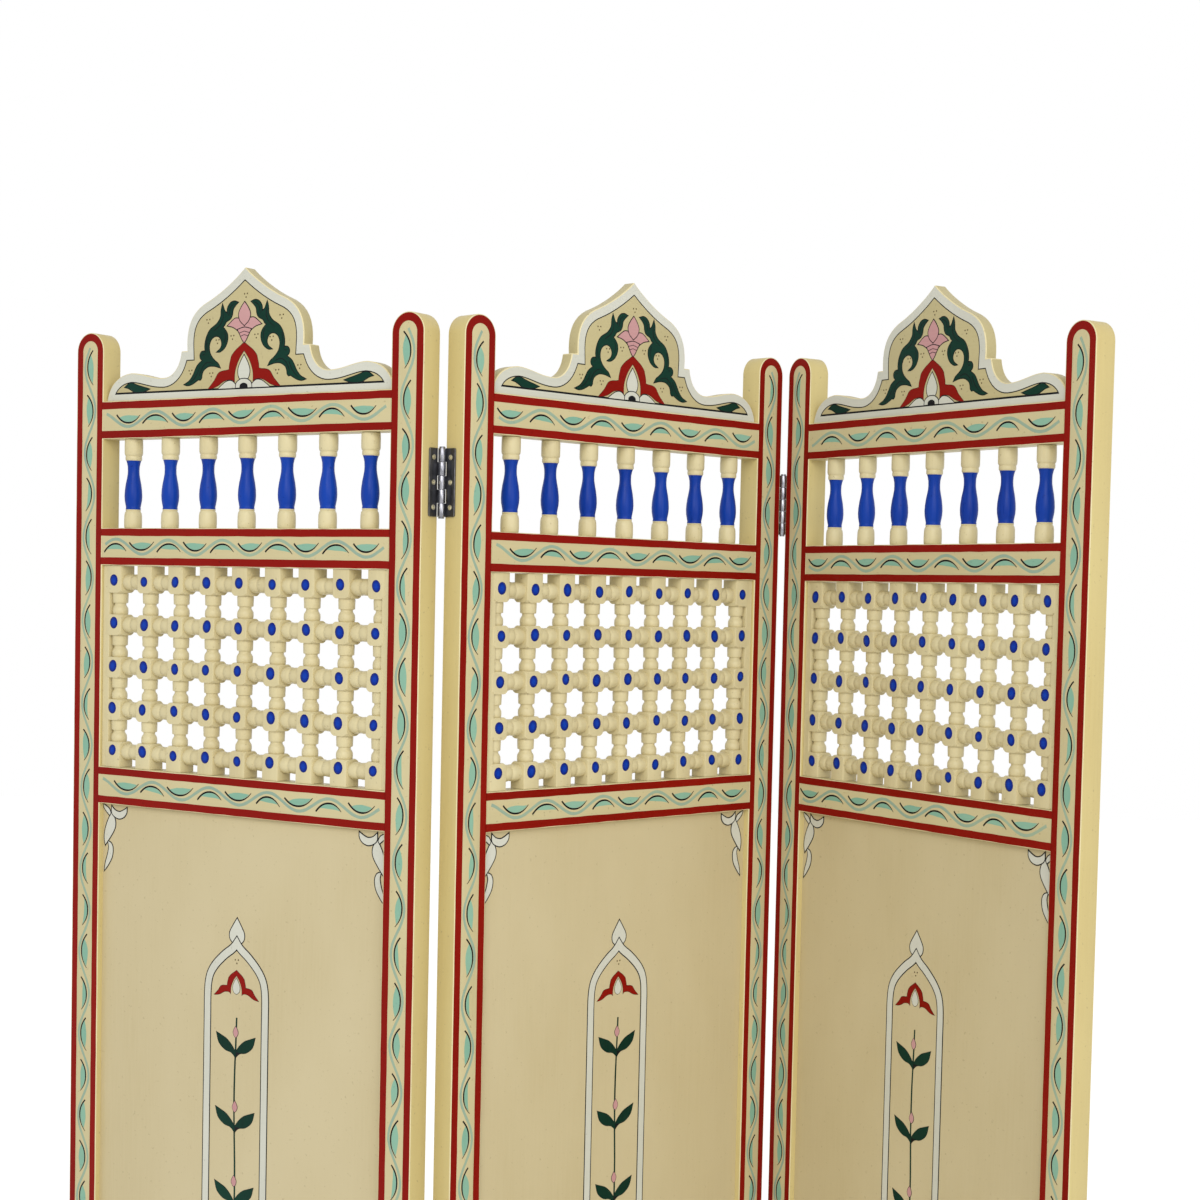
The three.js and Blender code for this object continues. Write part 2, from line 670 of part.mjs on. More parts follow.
// ---- Panels ----
function makePanel(prefix, leftFold, rightFold, materials) {
  const panel = new THREE.Group();
  const add = (name, geometry, material) => panel.add(makeMesh(`${prefix}_${name}`, geometry, material));
  const middleCuts = [];
  const lowerCuts = [railBoardGroove(LOWER_RAIL - 1, LOWER_RAIL + BOARD_GROOVE + FIT)];
  const bottomTop = BOTTOM_RAIL + RAIL_WIDTH;
  const bottomCuts = [railBoardGroove(bottomTop - BOARD_GROOVE - FIT, bottomTop + 1)];
  add('post_left', makePost('left', leftFold), materials.frame);
  add('post_right', makePost('right', rightFold), materials.frame);
  add('top_rail', makeRail(TOP_RAIL, [crestTongue(FIT)]), materials.frame);
  add('middle_rail', makeRail(MIDDLE_RAIL, middleCuts), materials.frame);
  add('lower_rail', makeRail(LOWER_RAIL, lowerCuts), materials.frame);
  add('bottom_rail', makeRail(BOTTOM_RAIL, bottomCuts), materials.frame);
  add('crest_board', makeCrest(), materials.crest);
  add('painted_board', makeBoard(), materials.board);
  for (let i = 0; i < BALUSTER_COUNT; i += 1) {
    add(`baluster_${i + 1}`, makeBaluster(i), materials.baluster);
  }
  add('lattice', makeLattice(), materials.lattice);
  return panel;
}

// Turns a panel to its yaw and sets it so that its own hinge pin stands at the given place.
function standPanel(panel, yaw, pinX, pinY, place) {
  const turn = THREE.MathUtils.degToRad(yaw);
  const pin = new THREE.Vector2(pinX, pinY).rotateAround(new THREE.Vector2(0, 0), turn);
  panel.rotation.z = turn;
  panel.position.set(place.x - pin.x, place.y - pin.y, 0);
}

// Where a point of the centre panel stands.
function pinPlace(x, y) {
  const turn = THREE.MathUtils.degToRad(CENTRE_YAW);
  return new THREE.Vector2(x, y).rotateAround(new THREE.Vector2(0, 0), turn);
}

function buildScreen() {
  const screen = new THREE.Group();
  const materials = makeMaterials();
  const left = makePanel('left', null, 'left', materials);
  const centre = makePanel('centre', 'left', 'right', materials);
  const right = makePanel('right', 'right', null, materials);
  addLeaves(left, 'left', 'left', -1, 1, false, materials);
  addLeaves(centre, 'centre', 'left', 1, 0, true, materials);
  addLeaves(centre, 'centre', 'right', -1, 0, true, materials);
  addLeaves(right, 'right', 'right', 1, 1, false, materials);
  const nearX = -AXIS_ASIDE;
  const farX = PANEL_WIDTH + AXIS_ASIDE;
  standPanel(centre, CENTRE_YAW, 0, 0, new THREE.Vector2(0, 0));
  standPanel(left, CENTRE_YAW - LEFT_FOLD, farX, axisDepth('left'), pinPlace(nearX, axisDepth('left')));
  standPanel(right, CENTRE_YAW - RIGHT_FOLD, nearX, axisDepth('right'), pinPlace(farX, axisDepth('right')));
  screen.add(left, centre, right);
  screen.updateMatrixWorld(true);
  const middle = new THREE.Box3().setFromObject(screen, true).getCenter(new THREE.Vector3());
  for (const panel of screen.children) {
    panel.position.x -= middle.x;
    panel.position.y -= middle.y;
  }
  return screen;
}

export default buildScreen();
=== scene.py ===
# %% [markdown]
# # A painted folding screen
#
# Three wooden panels stand in a zigzag on the floor, joined by steel butt hinges. Each panel is a
# frame of two posts with round heads and four rails. From the top down it holds a crest board cut
# to an ogee, a row of turned balusters, a lattice of blocks and turned links, and one thin board.
# Everything is painted cream, and then ornamented by hand in red, green, pink, white and blue.
#
# The lesson dresses a finished CAD model. Its solids stay where they are, and each new piece takes
# the place of one of them and moves with the same body.

import json
import math
import random

import bmesh
import bpy
from mathutils import Matrix, Vector


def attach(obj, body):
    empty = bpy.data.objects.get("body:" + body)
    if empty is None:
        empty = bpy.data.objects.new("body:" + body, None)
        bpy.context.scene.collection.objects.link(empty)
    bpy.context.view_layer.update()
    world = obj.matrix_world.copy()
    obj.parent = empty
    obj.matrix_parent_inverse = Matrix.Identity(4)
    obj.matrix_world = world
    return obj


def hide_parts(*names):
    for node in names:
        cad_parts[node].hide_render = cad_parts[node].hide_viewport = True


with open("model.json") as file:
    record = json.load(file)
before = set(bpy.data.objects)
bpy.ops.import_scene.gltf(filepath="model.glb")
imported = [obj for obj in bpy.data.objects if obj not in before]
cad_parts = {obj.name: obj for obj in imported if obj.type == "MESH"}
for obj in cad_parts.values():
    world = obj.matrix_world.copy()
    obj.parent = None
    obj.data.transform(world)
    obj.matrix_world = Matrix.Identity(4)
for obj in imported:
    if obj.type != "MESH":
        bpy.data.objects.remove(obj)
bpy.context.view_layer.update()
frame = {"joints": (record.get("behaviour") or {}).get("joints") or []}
bpy.ops.object.select_all(action="DESELECT")

# %% [markdown]
# ## The sizes
#
# These are the sizes of the real wood, in millimetres, the same as those of the CAD model. The four
# rails are given by the height of their undersides, and the hinge pins by how far they stand off
# the wood: beside the edge of a post, and before or behind its face.

# %% Sizes of a panel
MM = 0.001
WIDTH = 500
POST = 42
POST_TOP = 1740
DEPTH = 26
RAIL = 42
RAILS = {"top": 1620, "middle": 1478, "lower": 1208, "bottom": 90}
LEFT_EDGE = POST
RIGHT_EDGE = WIDTH - POST
MIDDLE = WIDTH / 2
CREST_BASE = RAILS["top"] + RAIL
CREST_FRONT = 5.5
CREST_BACK = 20.5
BOARD_FRONT = 7
BOARD_BACK = 15
LATTICE_FRONT = 2.5
LATTICE_BACK = 23.5
SEAT_GAP = 0.3
PIN_ASIDE = 4.3
PIN_OFF = 1.2
print("opening", RIGHT_EDGE - LEFT_EDGE, "mm wide")

# %% [markdown]
# ## Where a panel stands
#
# A panel could be modelled where it stands, turned by some odd angle, but then no edge would be
# level or square to the view. So every piece is drawn in millimetres on a panel that lies at the
# world's origin: X runs along its width, Y from its painted front to its back, and Z up from the
# floor. The last step of each piece turns millimetres into metres and carries it to its panel.
# A panel's place follows from the hinge pin that it shares with its neighbour.

# %% The three places
PANELS = ("left", "centre", "right")
YAW = {"left": -33.5, "centre": 45.2, "right": -58.0}
PIN_OF = {"left": "left_fold", "centre": "left_fold", "right": "right_fold"}
PIN_AT = {
    "left": (WIDTH + PIN_ASIDE, DEPTH + PIN_OFF),
    "centre": (-PIN_ASIDE, DEPTH + PIN_OFF),
    "right": (-PIN_ASIDE, -PIN_OFF),
}

pins = {joint["name"]: joint["pos_m"] for joint in frame["joints"]}


def place_of(panel):
    pin = pins[PIN_OF[panel]]
    turn = Matrix.Rotation(math.radians(YAW[panel]), 4, "Z")
    offset = turn @ (Vector((*PIN_AT[panel], 0)) * MM)
    corner = Vector((pin[0] - offset.x, pin[1] - offset.y, 0))
    return Matrix.Translation(corner) @ turn @ Matrix.Scale(MM, 4)


PLACE = {panel: place_of(panel) for panel in PANELS}
for panel in PANELS:
    print(panel, "corner at", [round(c, 4) for c in PLACE[panel].translation])

# %% [markdown]
# ## Brushed paint
#
# The whole screen is brush painted. Real brush paint is never one colour: bristles leave fine
# streaks along the stroke, the coat is thicker in some places, dirt settles in specks, and the
# gloss changes with all of it. One recipe serves for every paint here. It reads a vector called
# grain, which each piece gets when it is stood in its place: the last of its three numbers runs
# along the piece, so the streaks always follow the wood.

# %% Colours and nodes
def linear(red, green, blue):
    """The linear colour of three screen values from 0 to 255."""
    tones = [c / 255 for c in (red, green, blue)]
    return [t / 12.92 if t <= 0.04045 else ((t + 0.055) / 1.055) ** 2.4 for t in tones] + [1]


def add_noise(material, scale, stretch, detail):
    nodes, links = material.node_tree.nodes, material.node_tree.links
    grain = nodes.new("ShaderNodeAttribute")
    grain.attribute_name = "grain"
    mapping = nodes.new("ShaderNodeMapping")
    mapping.inputs["Scale"].default_value = (1, 1, stretch)
    noise = nodes.new("ShaderNodeTexNoise")
    noise.inputs["Scale"].default_value = scale
    noise.inputs["Detail"].default_value = detail
    links.new(grain.outputs["Vector"], mapping.inputs["Vector"])
    links.new(mapping.outputs["Vector"], noise.inputs["Vector"])
    return noise.outputs["Fac"]


def add_range(material, value, low, high, to_low, to_high):
    node = material.node_tree.nodes.new("ShaderNodeMapRange")
    for name, number in zip(("From Min", "From Max", "To Min", "To Max"),
                            (low, high, to_low, to_high)):
        node.inputs[name].default_value = number
    material.node_tree.links.new(value, node.inputs["Value"])
    return node.outputs["Result"]


def add_mix(material, factor, first, second):
    node = material.node_tree.nodes.new("ShaderNodeMix")
    node.data_type = "RGBA"
    links = material.node_tree.links
    links.new(factor, node.inputs[0])
    for socket, colour in ((node.inputs[6], first), (node.inputs[7], second)):
        if isinstance(colour, bpy.types.NodeSocket):
            links.new(colour, socket)
        else:
            socket.default_value = colour
    return node.outputs[2]


def add_bump(material, height, distance):
    node = material.node_tree.nodes.new("ShaderNodeBump")
    node.inputs["Distance"].default_value = distance
    links = material.node_tree.links
    links.new(height, node.inputs["Height"])
    links.new(node.outputs["Normal"], material.node_tree.nodes["Principled BSDF"].inputs["Normal"])


def new_material(name):
    material = bpy.data.materials.new(name)
    material.use_nodes = True
    return material, material.node_tree.nodes["Principled BSDF"]


print("middle grey in linear light:", [round(c, 3) for c in linear(128, 128, 128)])


# %% A recipe for paint
BRISTLE_RELIEF = 0.00012


def paint(name, colour, thin, dirt, gloss=0.42, speckle=0.5, shine=0.3):
    """Brushed paint. Its coat runs from colour to thin, and specks of dirt lie on it."""
    material, shader = new_material(name)
    shader.inputs["Specular IOR Level"].default_value = shine
    links = material.node_tree.links
    cloud = add_range(material, add_noise(material, 9, 0.5, 3), 0.36, 0.66, 0, 1)
    bristle = add_noise(material, 420, 0.04, 3)
    streak = add_range(material, bristle, 0.35, 0.7, 0, 0.45)
    speck = add_range(material, add_noise(material, 260, 1, 4), 0.66, 0.74, 0, speckle)
    coat = add_mix(material, cloud, linear(*colour), linear(*thin))
    brushed = add_mix(material, streak, coat, linear(*thin))
    links.new(add_mix(material, speck, brushed, linear(*dirt)), shader.inputs["Base Color"])
    links.new(add_range(material, bristle, 0.3, 0.7, gloss - 0.08, gloss + 0.1),
              shader.inputs["Roughness"])
    add_bump(material, bristle, BRISTLE_RELIEF)
    return material


print("bristles stand up by", BRISTLE_RELIEF / MM, "mm")

# %% [markdown]
# ## The paints
#
# The ground is one cream for the frame, with a paler and yellower line along each arris. It is
# partly a coat worn thin there and partly a painted highlight, where a rounded edge would catch the
# light. The narrow sides and round heads of the posts are painted a yellower cream than their
# faces.
# The crest, the board and the lattice have the same cream with small differences. The inks of the
# ornament are the same recipe in their own colours.

# %% Mix the paints
CREAM_DIRT = (150, 134, 100)
frame_cream = paint("frame_cream", (199, 186, 141), (206, 194, 150), CREAM_DIRT)
# A yellower cream for the narrow sides and round heads of the posts.
side_cream = paint("side_cream", (201, 182, 123), (208, 191, 132), CREAM_DIRT)
# A paler cream along every arris: partly a coat worn thin, partly a painted highlight.
worn_and_highlit_arris_cream = paint("worn_and_highlit_arris_cream", (222, 208, 160), (228, 216, 172), CREAM_DIRT)
crest_cream = paint("crest_cream", (186, 173, 126), (194, 182, 136), CREAM_DIRT)
board_cream = paint("board_cream", (198, 183, 142), (204, 190, 151), CREAM_DIRT, speckle=0.35)
lattice_cream = paint("lattice_cream", (205, 191, 147), (215, 203, 160), CREAM_DIRT, gloss=0.36)
baluster_blue = paint("baluster_blue", (6, 46, 136), (14, 62, 162), (4, 22, 90), gloss=0.34,
                      shine=0.15)


def ink(name, colour, thin, dirt):
    return paint(f"ink_{name}", colour, thin, dirt, shine=0.1)


INKS = {
    "red": ink("red", (126, 9, 0), (138, 15, 4), (82, 5, 1)),
    "white": ink("white", (202, 202, 188), (212, 212, 199), (166, 163, 148)),
    "wash": ink("wash", (143, 167, 151), (160, 179, 152), (126, 150, 138)),
    "teal": ink("teal", (128, 174, 152), (142, 184, 160), (106, 142, 130)),
    "black": ink("black", (10, 11, 14), (20, 21, 25), (6, 6, 8)),
    "green": ink("green", (3, 40, 30), (8, 54, 41), (2, 20, 15)),
    "pink": ink("pink", (190, 138, 139), (202, 156, 154), (156, 104, 108)),
    "brown": ink("brown", (84, 70, 44), (96, 82, 54), (60, 48, 30)),
}
print("paints:", len(bpy.data.materials))

# %% [markdown]
# ## Standing a piece in its place
#
# Every piece ends the same way. Its grain is written into the mesh while it still lies at the
# origin, with a shift of its own so that no two pieces show the same brush marks. Then the mesh is
# carried to its panel, the piece is hung on its body, and the CAD solids it stands for are hidden.

# %% Grain, place and body
chance = random.Random(5)
GRAIN_SHIFT = 9


def pick(*objects):
    bpy.ops.object.select_all(action="DESELECT")
    for each in objects:
        each.select_set(True)
    bpy.context.view_layer.objects.active = objects[0]


def coat(piece, *materials):
    piece.data.materials.clear()
    for material in materials:
        piece.data.materials.append(material)


def copied(piece, name):
    twin = piece.copy()
    twin.data = piece.data.copy()
    twin.name = name
    bpy.context.collection.objects.link(twin)
    return twin


def stand(piece, panel, nodes=(), along="z"):
    order = (0, 1, 2) if along == "z" else (2, 1, 0)
    shift = Vector([chance.uniform(0, GRAIN_SHIFT) for _ in range(3)])
    mesh = piece.data
    grain = mesh.attributes.new("grain", "FLOAT_VECTOR", "POINT")
    for vertex, value in zip(mesh.vertices, grain.data):
        value.vector = shift + Vector([vertex.co[i] * MM for i in order])
    mesh.transform(PLACE[panel])
    piece.matrix_world = Matrix.Identity(4)
    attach(piece, f"{panel}_panel")
    if nodes:
        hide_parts(*nodes)
    return piece


print("grain shifts by up to", GRAIN_SHIFT, "m")

# %% [markdown]
# ## A bar of wood
#
# Posts and rails are planed bars. A cube is stretched to the bar's size, and its scale is applied
# so that a bevel has the same width all round. An edge is picked by the direction it runs in. The
# narrow faces of a bevel can be given a material of their own, such as the paler paint of an arris,
# which is partly a worn coat and partly a painted highlight.

# %% Bars and arrises
ARRIS, SIDE = 1, 2
SMOOTH_ANGLE = math.radians(35)


def bar(name, low, high):
    size = [b - a for a, b in zip(low, high)]
    centre = [(a + b) / 2 for a, b in zip(low, high)]
    bpy.ops.mesh.primitive_cube_add(size=1, location=centre, scale=size)
    piece = bpy.context.object
    piece.name = name
    pick(piece)
    bpy.ops.object.transform_apply(location=True, rotation=True, scale=True)
    return piece


def runs_in(axis):
    """A test of an edge by its two ends: it is long, and runs in the direction of the axis."""
    return lambda a, b: abs(getattr(a, axis) - getattr(b, axis)) > 1


def bevel_edges(piece, wanted, width, segments, material=-1):
    """Bevels the edges of which wanted, a test of their two ends, says yes."""
    pick(piece)
    bpy.ops.object.mode_set(mode="EDIT")
    bpy.ops.mesh.select_mode(type="EDGE")
    bpy.ops.mesh.select_all(action="DESELECT")
    form = bmesh.from_edit_mesh(piece.data)
    for edge in form.edges:
        edge.select_set(wanted(*[v.co for v in edge.verts]))
    bmesh.update_edit_mesh(piece.data)
    bpy.ops.mesh.bevel(offset=width, segments=segments, affect="EDGES", material=material)
    bpy.ops.mesh.select_all(action="SELECT")
    bpy.ops.mesh.remove_doubles(threshold=0.01)
    bpy.ops.object.mode_set(mode="OBJECT")


def soften(piece, width, segments, angle, material=-1):
    """Rounds every edge sharper than the angle."""
    pick(piece)
    bevel = piece.modifiers.new("arris", "BEVEL")
    bevel.width = width
    bevel.segments = segments
    bevel.limit_method = "ANGLE"
    bevel.angle_limit = math.radians(angle)
    bevel.material = material
    bpy.ops.object.modifier_apply(modifier=bevel.name)
    bpy.ops.object.shade_smooth_by_angle(angle=SMOOTH_ANGLE)


print("smooth below", round(math.degrees(SMOOTH_ANGLE)), "degrees")

# %% [markdown]
# ## Posts
#
# A post is a bar with a round head. The head could be a half cylinder joined on, but then there
# would be a seam, so the two upper corners are bevelled until they meet in a half circle. The
# arrises are then rounded over. A rail is a plain bar between the posts, with its long arrises
# planed off.

# %% Model a post and a rail
POST_ARRIS, RAIL_ARRIS = 1.3, 0.9
HEAD_STEPS = 14


def new_post(x0):
    post = bar("post", (x0, 0, 0), (x0 + POST, DEPTH, POST_TOP))
    coat(post, frame_cream, worn_and_highlit_arris_cream, side_cream)
    for face in post.data.polygons:
        if abs(face.normal.x) > 0.9:
            face.material_index = SIDE

    def is_top_corner(a, b):
        return min(a.z, b.z) > POST_TOP - 1 and abs(a.y - b.y) > 1
    bevel_edges(post, is_top_corner, POST / 2 - 0.02, HEAD_STEPS, material=SIDE)
    soften(post, POST_ARRIS, 3, 60, material=ARRIS)
    return post


def new_rail(level):
    rail = bar("rail", (LEFT_EDGE, 0, level), (RIGHT_EDGE, DEPTH, level + RAIL))
    coat(rail, frame_cream, worn_and_highlit_arris_cream)
    bevel_edges(rail, runs_in("x"), RAIL_ARRIS, 2, material=ARRIS)
    bpy.ops.object.shade_smooth_by_angle(angle=SMOOTH_ANGLE)
    return rail


for panel in PANELS:
    for side, x0 in (("left", 0), ("right", RIGHT_EDGE)):
        node = f"{panel}_post_{side}"
        post = new_post(x0)
        post.name = f"{node}_wood"
        stand(post, panel, [node])
    for level, underside in RAILS.items():
        node = f"{panel}_{level}_rail"
        rail = new_rail(underside)
        rail.name = f"{node}_wood"
        stand(rail, panel, [node], along="x")
print("faces of a post:", len(post.data.polygons), "and of a rail:", len(rail.data.polygons))

# %% [markdown]
# ## Drawing a curve through points
#
# A shape of the ornament is given by a few points, and a Catmull-Rom curve runs smoothly through
# them all. A point with a third number is a tip, where the curve breaks. The long sweeps of the
# crest are Bezier curves instead, because their handles give the slope at each end.

# %% Smooth outlines
def bezier(points, steps):
    made = []
    for k in range(steps):
        t = k / steps
        weights = ((1 - t) ** 3, 3 * t * (1 - t) ** 2, 3 * t * t * (1 - t), t ** 3)
        made.append(tuple(sum(w * p[i] for w, p in zip(weights, points)) for i in (0, 1)))
    return made


def smooth(points, steps=4, closed=True):
    """A curve through the points, with a break at each that has a third number."""
    flat = [Vector(p[:2]) for p in points]
    tips = [len(p) > 2 for p in points]
    count = len(points)
    made = []
    for i in range(count if closed else count - 1):
        b, c = flat[i], flat[(i + 1) % count]
        a = flat[i - 1] if not tips[i] and (closed or i > 0) else 2 * b - c
        end = (i + 1) % count
        d = flat[(i + 2) % count] if not tips[end] and (closed or i + 2 < count) else 2 * c - b
        for k in range(steps):
            t = k / steps
            made.append(tuple(0.5 * (2 * b + (c - a) * t + (2 * a - 5 * b + 4 * c - d) * t * t
                                     + (3 * b - a - 3 * c + d) * t ** 3)))
    if not closed:
        made.append(tuple(flat[-1]))
    return made


print("a smooth ring through 4 points:", len(smooth([(0, 0), (1, 0), (1, 1), (0, 1)])), "points")

# %% [markdown]
# ## Outlines beside outlines
#
# A border keeps the same distance from an edge all the way round, and so does the black rim of a
# painted leaf. Scaling a shape would not do that, because its far ends would move more than its
# waist. Each point is moved square to the outline instead. At a sharp corner some of the moved
# points land too near the other side, and these are left out.


# %% Mirror, move, grow and inset
def mirrored(points):
    return [(-p[0], *p[1:]) for p in reversed(points)]


def moved(points, x, z, flip=1):
    """The points carried to a place, turned upside down where flip is -1."""
    made = [(x + p[0], z + flip * p[1]) for p in points]
    return made if flip > 0 else made[::-1]


def area_of(points):
    return sum(a[0] * b[1] - b[0] * a[1] for a, b in zip(points, points[1:] + points[:1])) / 2


def grown(points, width):
    """The outline moved outwards by the width, or inwards where it is negative."""
    sign = 1 if area_of(points) > 0 else -1
    flat = [Vector(p) for p in points]
    made = []
    for before, here, after in zip(flat[-1:] + flat[:-1], flat, flat[1:] + flat[:1]):
        one, two = (here - before), (after - here)
        if one.length < 1e-6 or two.length < 1e-6:
            continue
        out = [Vector((side.y, -side.x)).normalized() * sign for side in (one, two)]
        middle = out[0] + out[1]
        if middle.length < 0.2:
            middle = one.normalized() - two.normalized()
        middle.normalize()
        reach = min(1 / max(middle.dot(out[0]), 0.2), 2.4)
        made.append(tuple(here + middle * width * reach))
    return made


def clear_of(points, outline, distance):
    """Those of the points that lie at least the distance from the outline."""
    edges = [(Vector(a), Vector(b)) for a, b in zip(outline, outline[1:] + outline[:1])]

    def gap(point):
        best = 1e9
        for a, b in edges:
            along = b - a
            share = min(1, max(0, (point - a).dot(along) / max(along.length_squared, 1e-9)))
            best = min(best, (point - a - along * share).length)
        return best
    return [p for p in points if gap(Vector(p)) >= distance]


def inset(outline, width):
    return clear_of(grown(outline, -width), outline, width - 0.05)


print("area of a square grown by 1:", area_of(grown([(0, 0), (2, 0), (2, 2), (0, 2)], 1)))

# %% [markdown]
# ## The crest board
#
# The crest is sawn from a thin board: a low hump beside each post, a hollow, a small square step,
# and an ogee that swells and then rises to a point. A circle with as many points as the outline is
# added, its points are pulled to the outline, and the face is extruded to the board's thickness.
# The saw leaves square edges, which sandpaper and paint round over.

# %% The crest's outline
HUMP, DIP, STEP, OGEE, SHOULDER, APEX = 170.7, 119.7, 93, 84.3, 53, 138
HALF = 207.7
CREST_CURVES = [
    [(HALF, 0), (HALF - 2, 14), (HALF - 12, 29.1), (HUMP, 31)],
    [(HUMP, 31), (HUMP - 18, 31), (DIP + 20, 24), (DIP, 24)],
    [(DIP, 24), (DIP - 12, 24), (STEP + 2.5, 33), (STEP, 52)],
    [(OGEE, 52), (OGEE + 2.2, 78), (OGEE - 5.3, 95), (SHOULDER, 104.6)],
    [(SHOULDER, 104.6), (SHOULDER - 18, 112), (11, 127.4), (0, APEX)],
]


def crest_outline(steps):
    right = [p for curve in CREST_CURVES for p in bezier(curve, steps)]
    step_corner = CREST_CURVES[2][3]
    right.insert(3 * steps, step_corner)
    return right + [(0, APEX)] + [(-x, z) for x, z in reversed(right)]


crest_line = crest_outline(10)
print("crest outline:", len(crest_line), "points")


# %% Saw and round the crest
CREST_ARRIS = 1.0


def new_crest():
    bpy.ops.mesh.primitive_circle_add(vertices=len(crest_line), radius=1, fill_type="NGON")
    crest = bpy.context.object
    pick(crest)
    bpy.ops.object.mode_set(mode="EDIT")
    form = bmesh.from_edit_mesh(crest.data)
    form.verts.ensure_lookup_table()
    for vertex, (x, z) in zip(form.verts, crest_line):
        vertex.co = (MIDDLE + x, CREST_FRONT, CREST_BASE + z)
    bmesh.update_edit_mesh(crest.data)
    bpy.ops.mesh.select_all(action="SELECT")
    thickness = CREST_BACK - CREST_FRONT
    bpy.ops.mesh.extrude_region_move(TRANSFORM_OT_translate={"value": (0, thickness, 0)})
    bpy.ops.mesh.select_all(action="SELECT")
    bpy.ops.mesh.normals_make_consistent(inside=False)
    bpy.ops.object.mode_set(mode="OBJECT")
    coat(crest, crest_cream, worn_and_highlit_arris_cream)
    soften(crest, CREST_ARRIS, 3, 50, material=ARRIS)
    return crest


for panel in PANELS:
    crest = new_crest()
    crest.name = f"{panel}_crest_wood"
    stand(crest, panel, [f"{panel}_crest_board"], along="x")
print("crest faces:", len(crest.data.polygons))

# %% [markdown]
# ## The painted board
#
# Below the lattice one thin board fills the panel. It stands in grooves, a little behind the front
# of the frame, which gives it a shadow along each edge. A board this thin is never quite flat, so
# it is subdivided and its face is moved by a fraction of a millimetre, in long low waves.

# %% The board
BOARD_HEAD = RAILS["lower"]
BOARD_FOOT = RAILS["bottom"] + RAIL
GROOVE = 8
BOARD_WAVE = 0.11


def new_board():
    low = (LEFT_EDGE - GROOVE, BOARD_FRONT, BOARD_FOOT - GROOVE)
    high = (RIGHT_EDGE + GROOVE, BOARD_BACK, BOARD_HEAD + GROOVE)
    board = bar("board", low, high)
    bpy.ops.object.mode_set(mode="EDIT")
    bpy.ops.mesh.subdivide(number_cuts=23)
    form = bmesh.from_edit_mesh(board.data)
    for vertex in form.verts:
        x, y, z = vertex.co
        wave = math.sin(x / 96 + z / 410) + 0.6 * math.sin(x / 51 - z / 170 + 1.3)
        vertex.co.y = y + BOARD_WAVE * wave
    bmesh.update_edit_mesh(board.data)
    bpy.ops.object.mode_set(mode="OBJECT")
    coat(board, board_cream, board_cream)
    soften(board, 0.8, 2, 60)
    return board


for panel in PANELS:
    board = new_board()
    board.name = f"{panel}_board_wood"
    stand(board, panel, [f"{panel}_painted_board"])
print("board faces:", len(board.data.polygons))

# %% [markdown]
# ## Turning
#
# Balusters and links come from a lathe. A spin of a profile would do, but raising a disc ring by
# ring is closer to how a turner works along the wood: the top face is extruded by a step and then
# scaled to the next radius, over and over, and the form stays closed all the time.

# %% The lathe
TURNED_ANGLE = math.radians(38)


def turned(name, profile, sides):
    """A turned piece that stands at the origin. Its profile is a list of radius and height."""
    radius, level = profile[0]
    bpy.ops.mesh.primitive_circle_add(vertices=sides, radius=radius, fill_type="NGON",
                                      location=(0, 0, level))
    piece = bpy.context.object
    piece.name = name
    pick(piece)
    bpy.ops.object.transform_apply(location=True, rotation=True, scale=True)
    bpy.ops.object.mode_set(mode="EDIT")
    bpy.ops.mesh.select_all(action="SELECT")
    for next_radius, next_level in profile[1:]:
        bpy.ops.mesh.extrude_region_move(
            TRANSFORM_OT_translate={"value": (0, 0, next_level - level)})
        ratio = next_radius / radius
        bpy.ops.transform.resize(value=(ratio, ratio, 1), center_override=(0, 0, next_level))
        radius, level = next_radius, next_level
    bpy.ops.mesh.select_all(action="SELECT")
    bpy.ops.mesh.normals_make_consistent(inside=False)
    bpy.ops.object.mode_set(mode="OBJECT")
    bpy.ops.object.shade_smooth_by_angle(angle=TURNED_ANGLE)
    return piece


print("turned pieces are smooth below", round(math.degrees(TURNED_ANGLE)), "degrees")

# %% [markdown]
# ## Balusters
#
# Seven balusters stand between the two upper rails. Each has a round foot with a thin neck above
# it, a slender vase, and a round head. The foot and the head are cream, and the vase is blue. The
# blue starts and ends where the turning steps in, so a ring of faces is enough to hold its edge.

# %% Model one baluster
BALUSTER_COUNT = 7
BALUSTER_END = 36
BALUSTER_FOOT = RAILS["middle"] + RAIL + SEAT_GAP
BALUSTER_PROFILE = [
    (9.3, 0), (9.7, 0.8), (9.9, 6), (9.7, 14), (9.2, 17), (8.3, 18.6), (7.9, 19.1), (8.4, 19.6),
    (8.5, 20.3), (8, 20.8), (8.2, 21.2), (8.3, 22), (8, 23), (8.6, 26), (9.5, 31), (9.8, 36),
    (9.5, 42), (8.6, 49), (7.4, 55), (6.6, 60), (6.4, 64), (6.6, 69), (7.4, 73), (8.2, 75.5),
    (8.8, 76), (9.1, 77), (9.1, 79.8), (8.7, 80.6), (9.5, 81.4), (10.1, 83.5), (10.2, 92),
    (10, 98.9), (9.5, 99.4),
]
BLUE_FROM, BLUE_TO = 20.8, 75.5
pattern = turned("baluster_pattern", BALUSTER_PROFILE, 24)
coat(pattern, lattice_cream, baluster_blue)
for face in pattern.data.polygons:
    if BLUE_FROM - 0.05 < face.center.z < BLUE_TO:
        face.material_index = 1
print("baluster:", len(pattern.data.polygons), "faces")

# %% Set the balusters out
spacing = (RIGHT_EDGE - LEFT_EDGE - 2 * BALUSTER_END) / (BALUSTER_COUNT - 1)
for panel in PANELS:
    for index in range(BALUSTER_COUNT):
        node = f"{panel}_baluster_{index + 1}"
        baluster = copied(pattern, f"{node}_turned")
        turn = Matrix.Rotation(chance.uniform(0, math.pi), 4, "Z")
        x = LEFT_EDGE + BALUSTER_END + spacing * index
        baluster.data.transform(Matrix.Translation((x, DEPTH / 2, BALUSTER_FOOT)) @ turn)
        stand(baluster, panel, [node])
bpy.data.objects.remove(pattern)
print("balusters in each panel:", BALUSTER_COUNT)

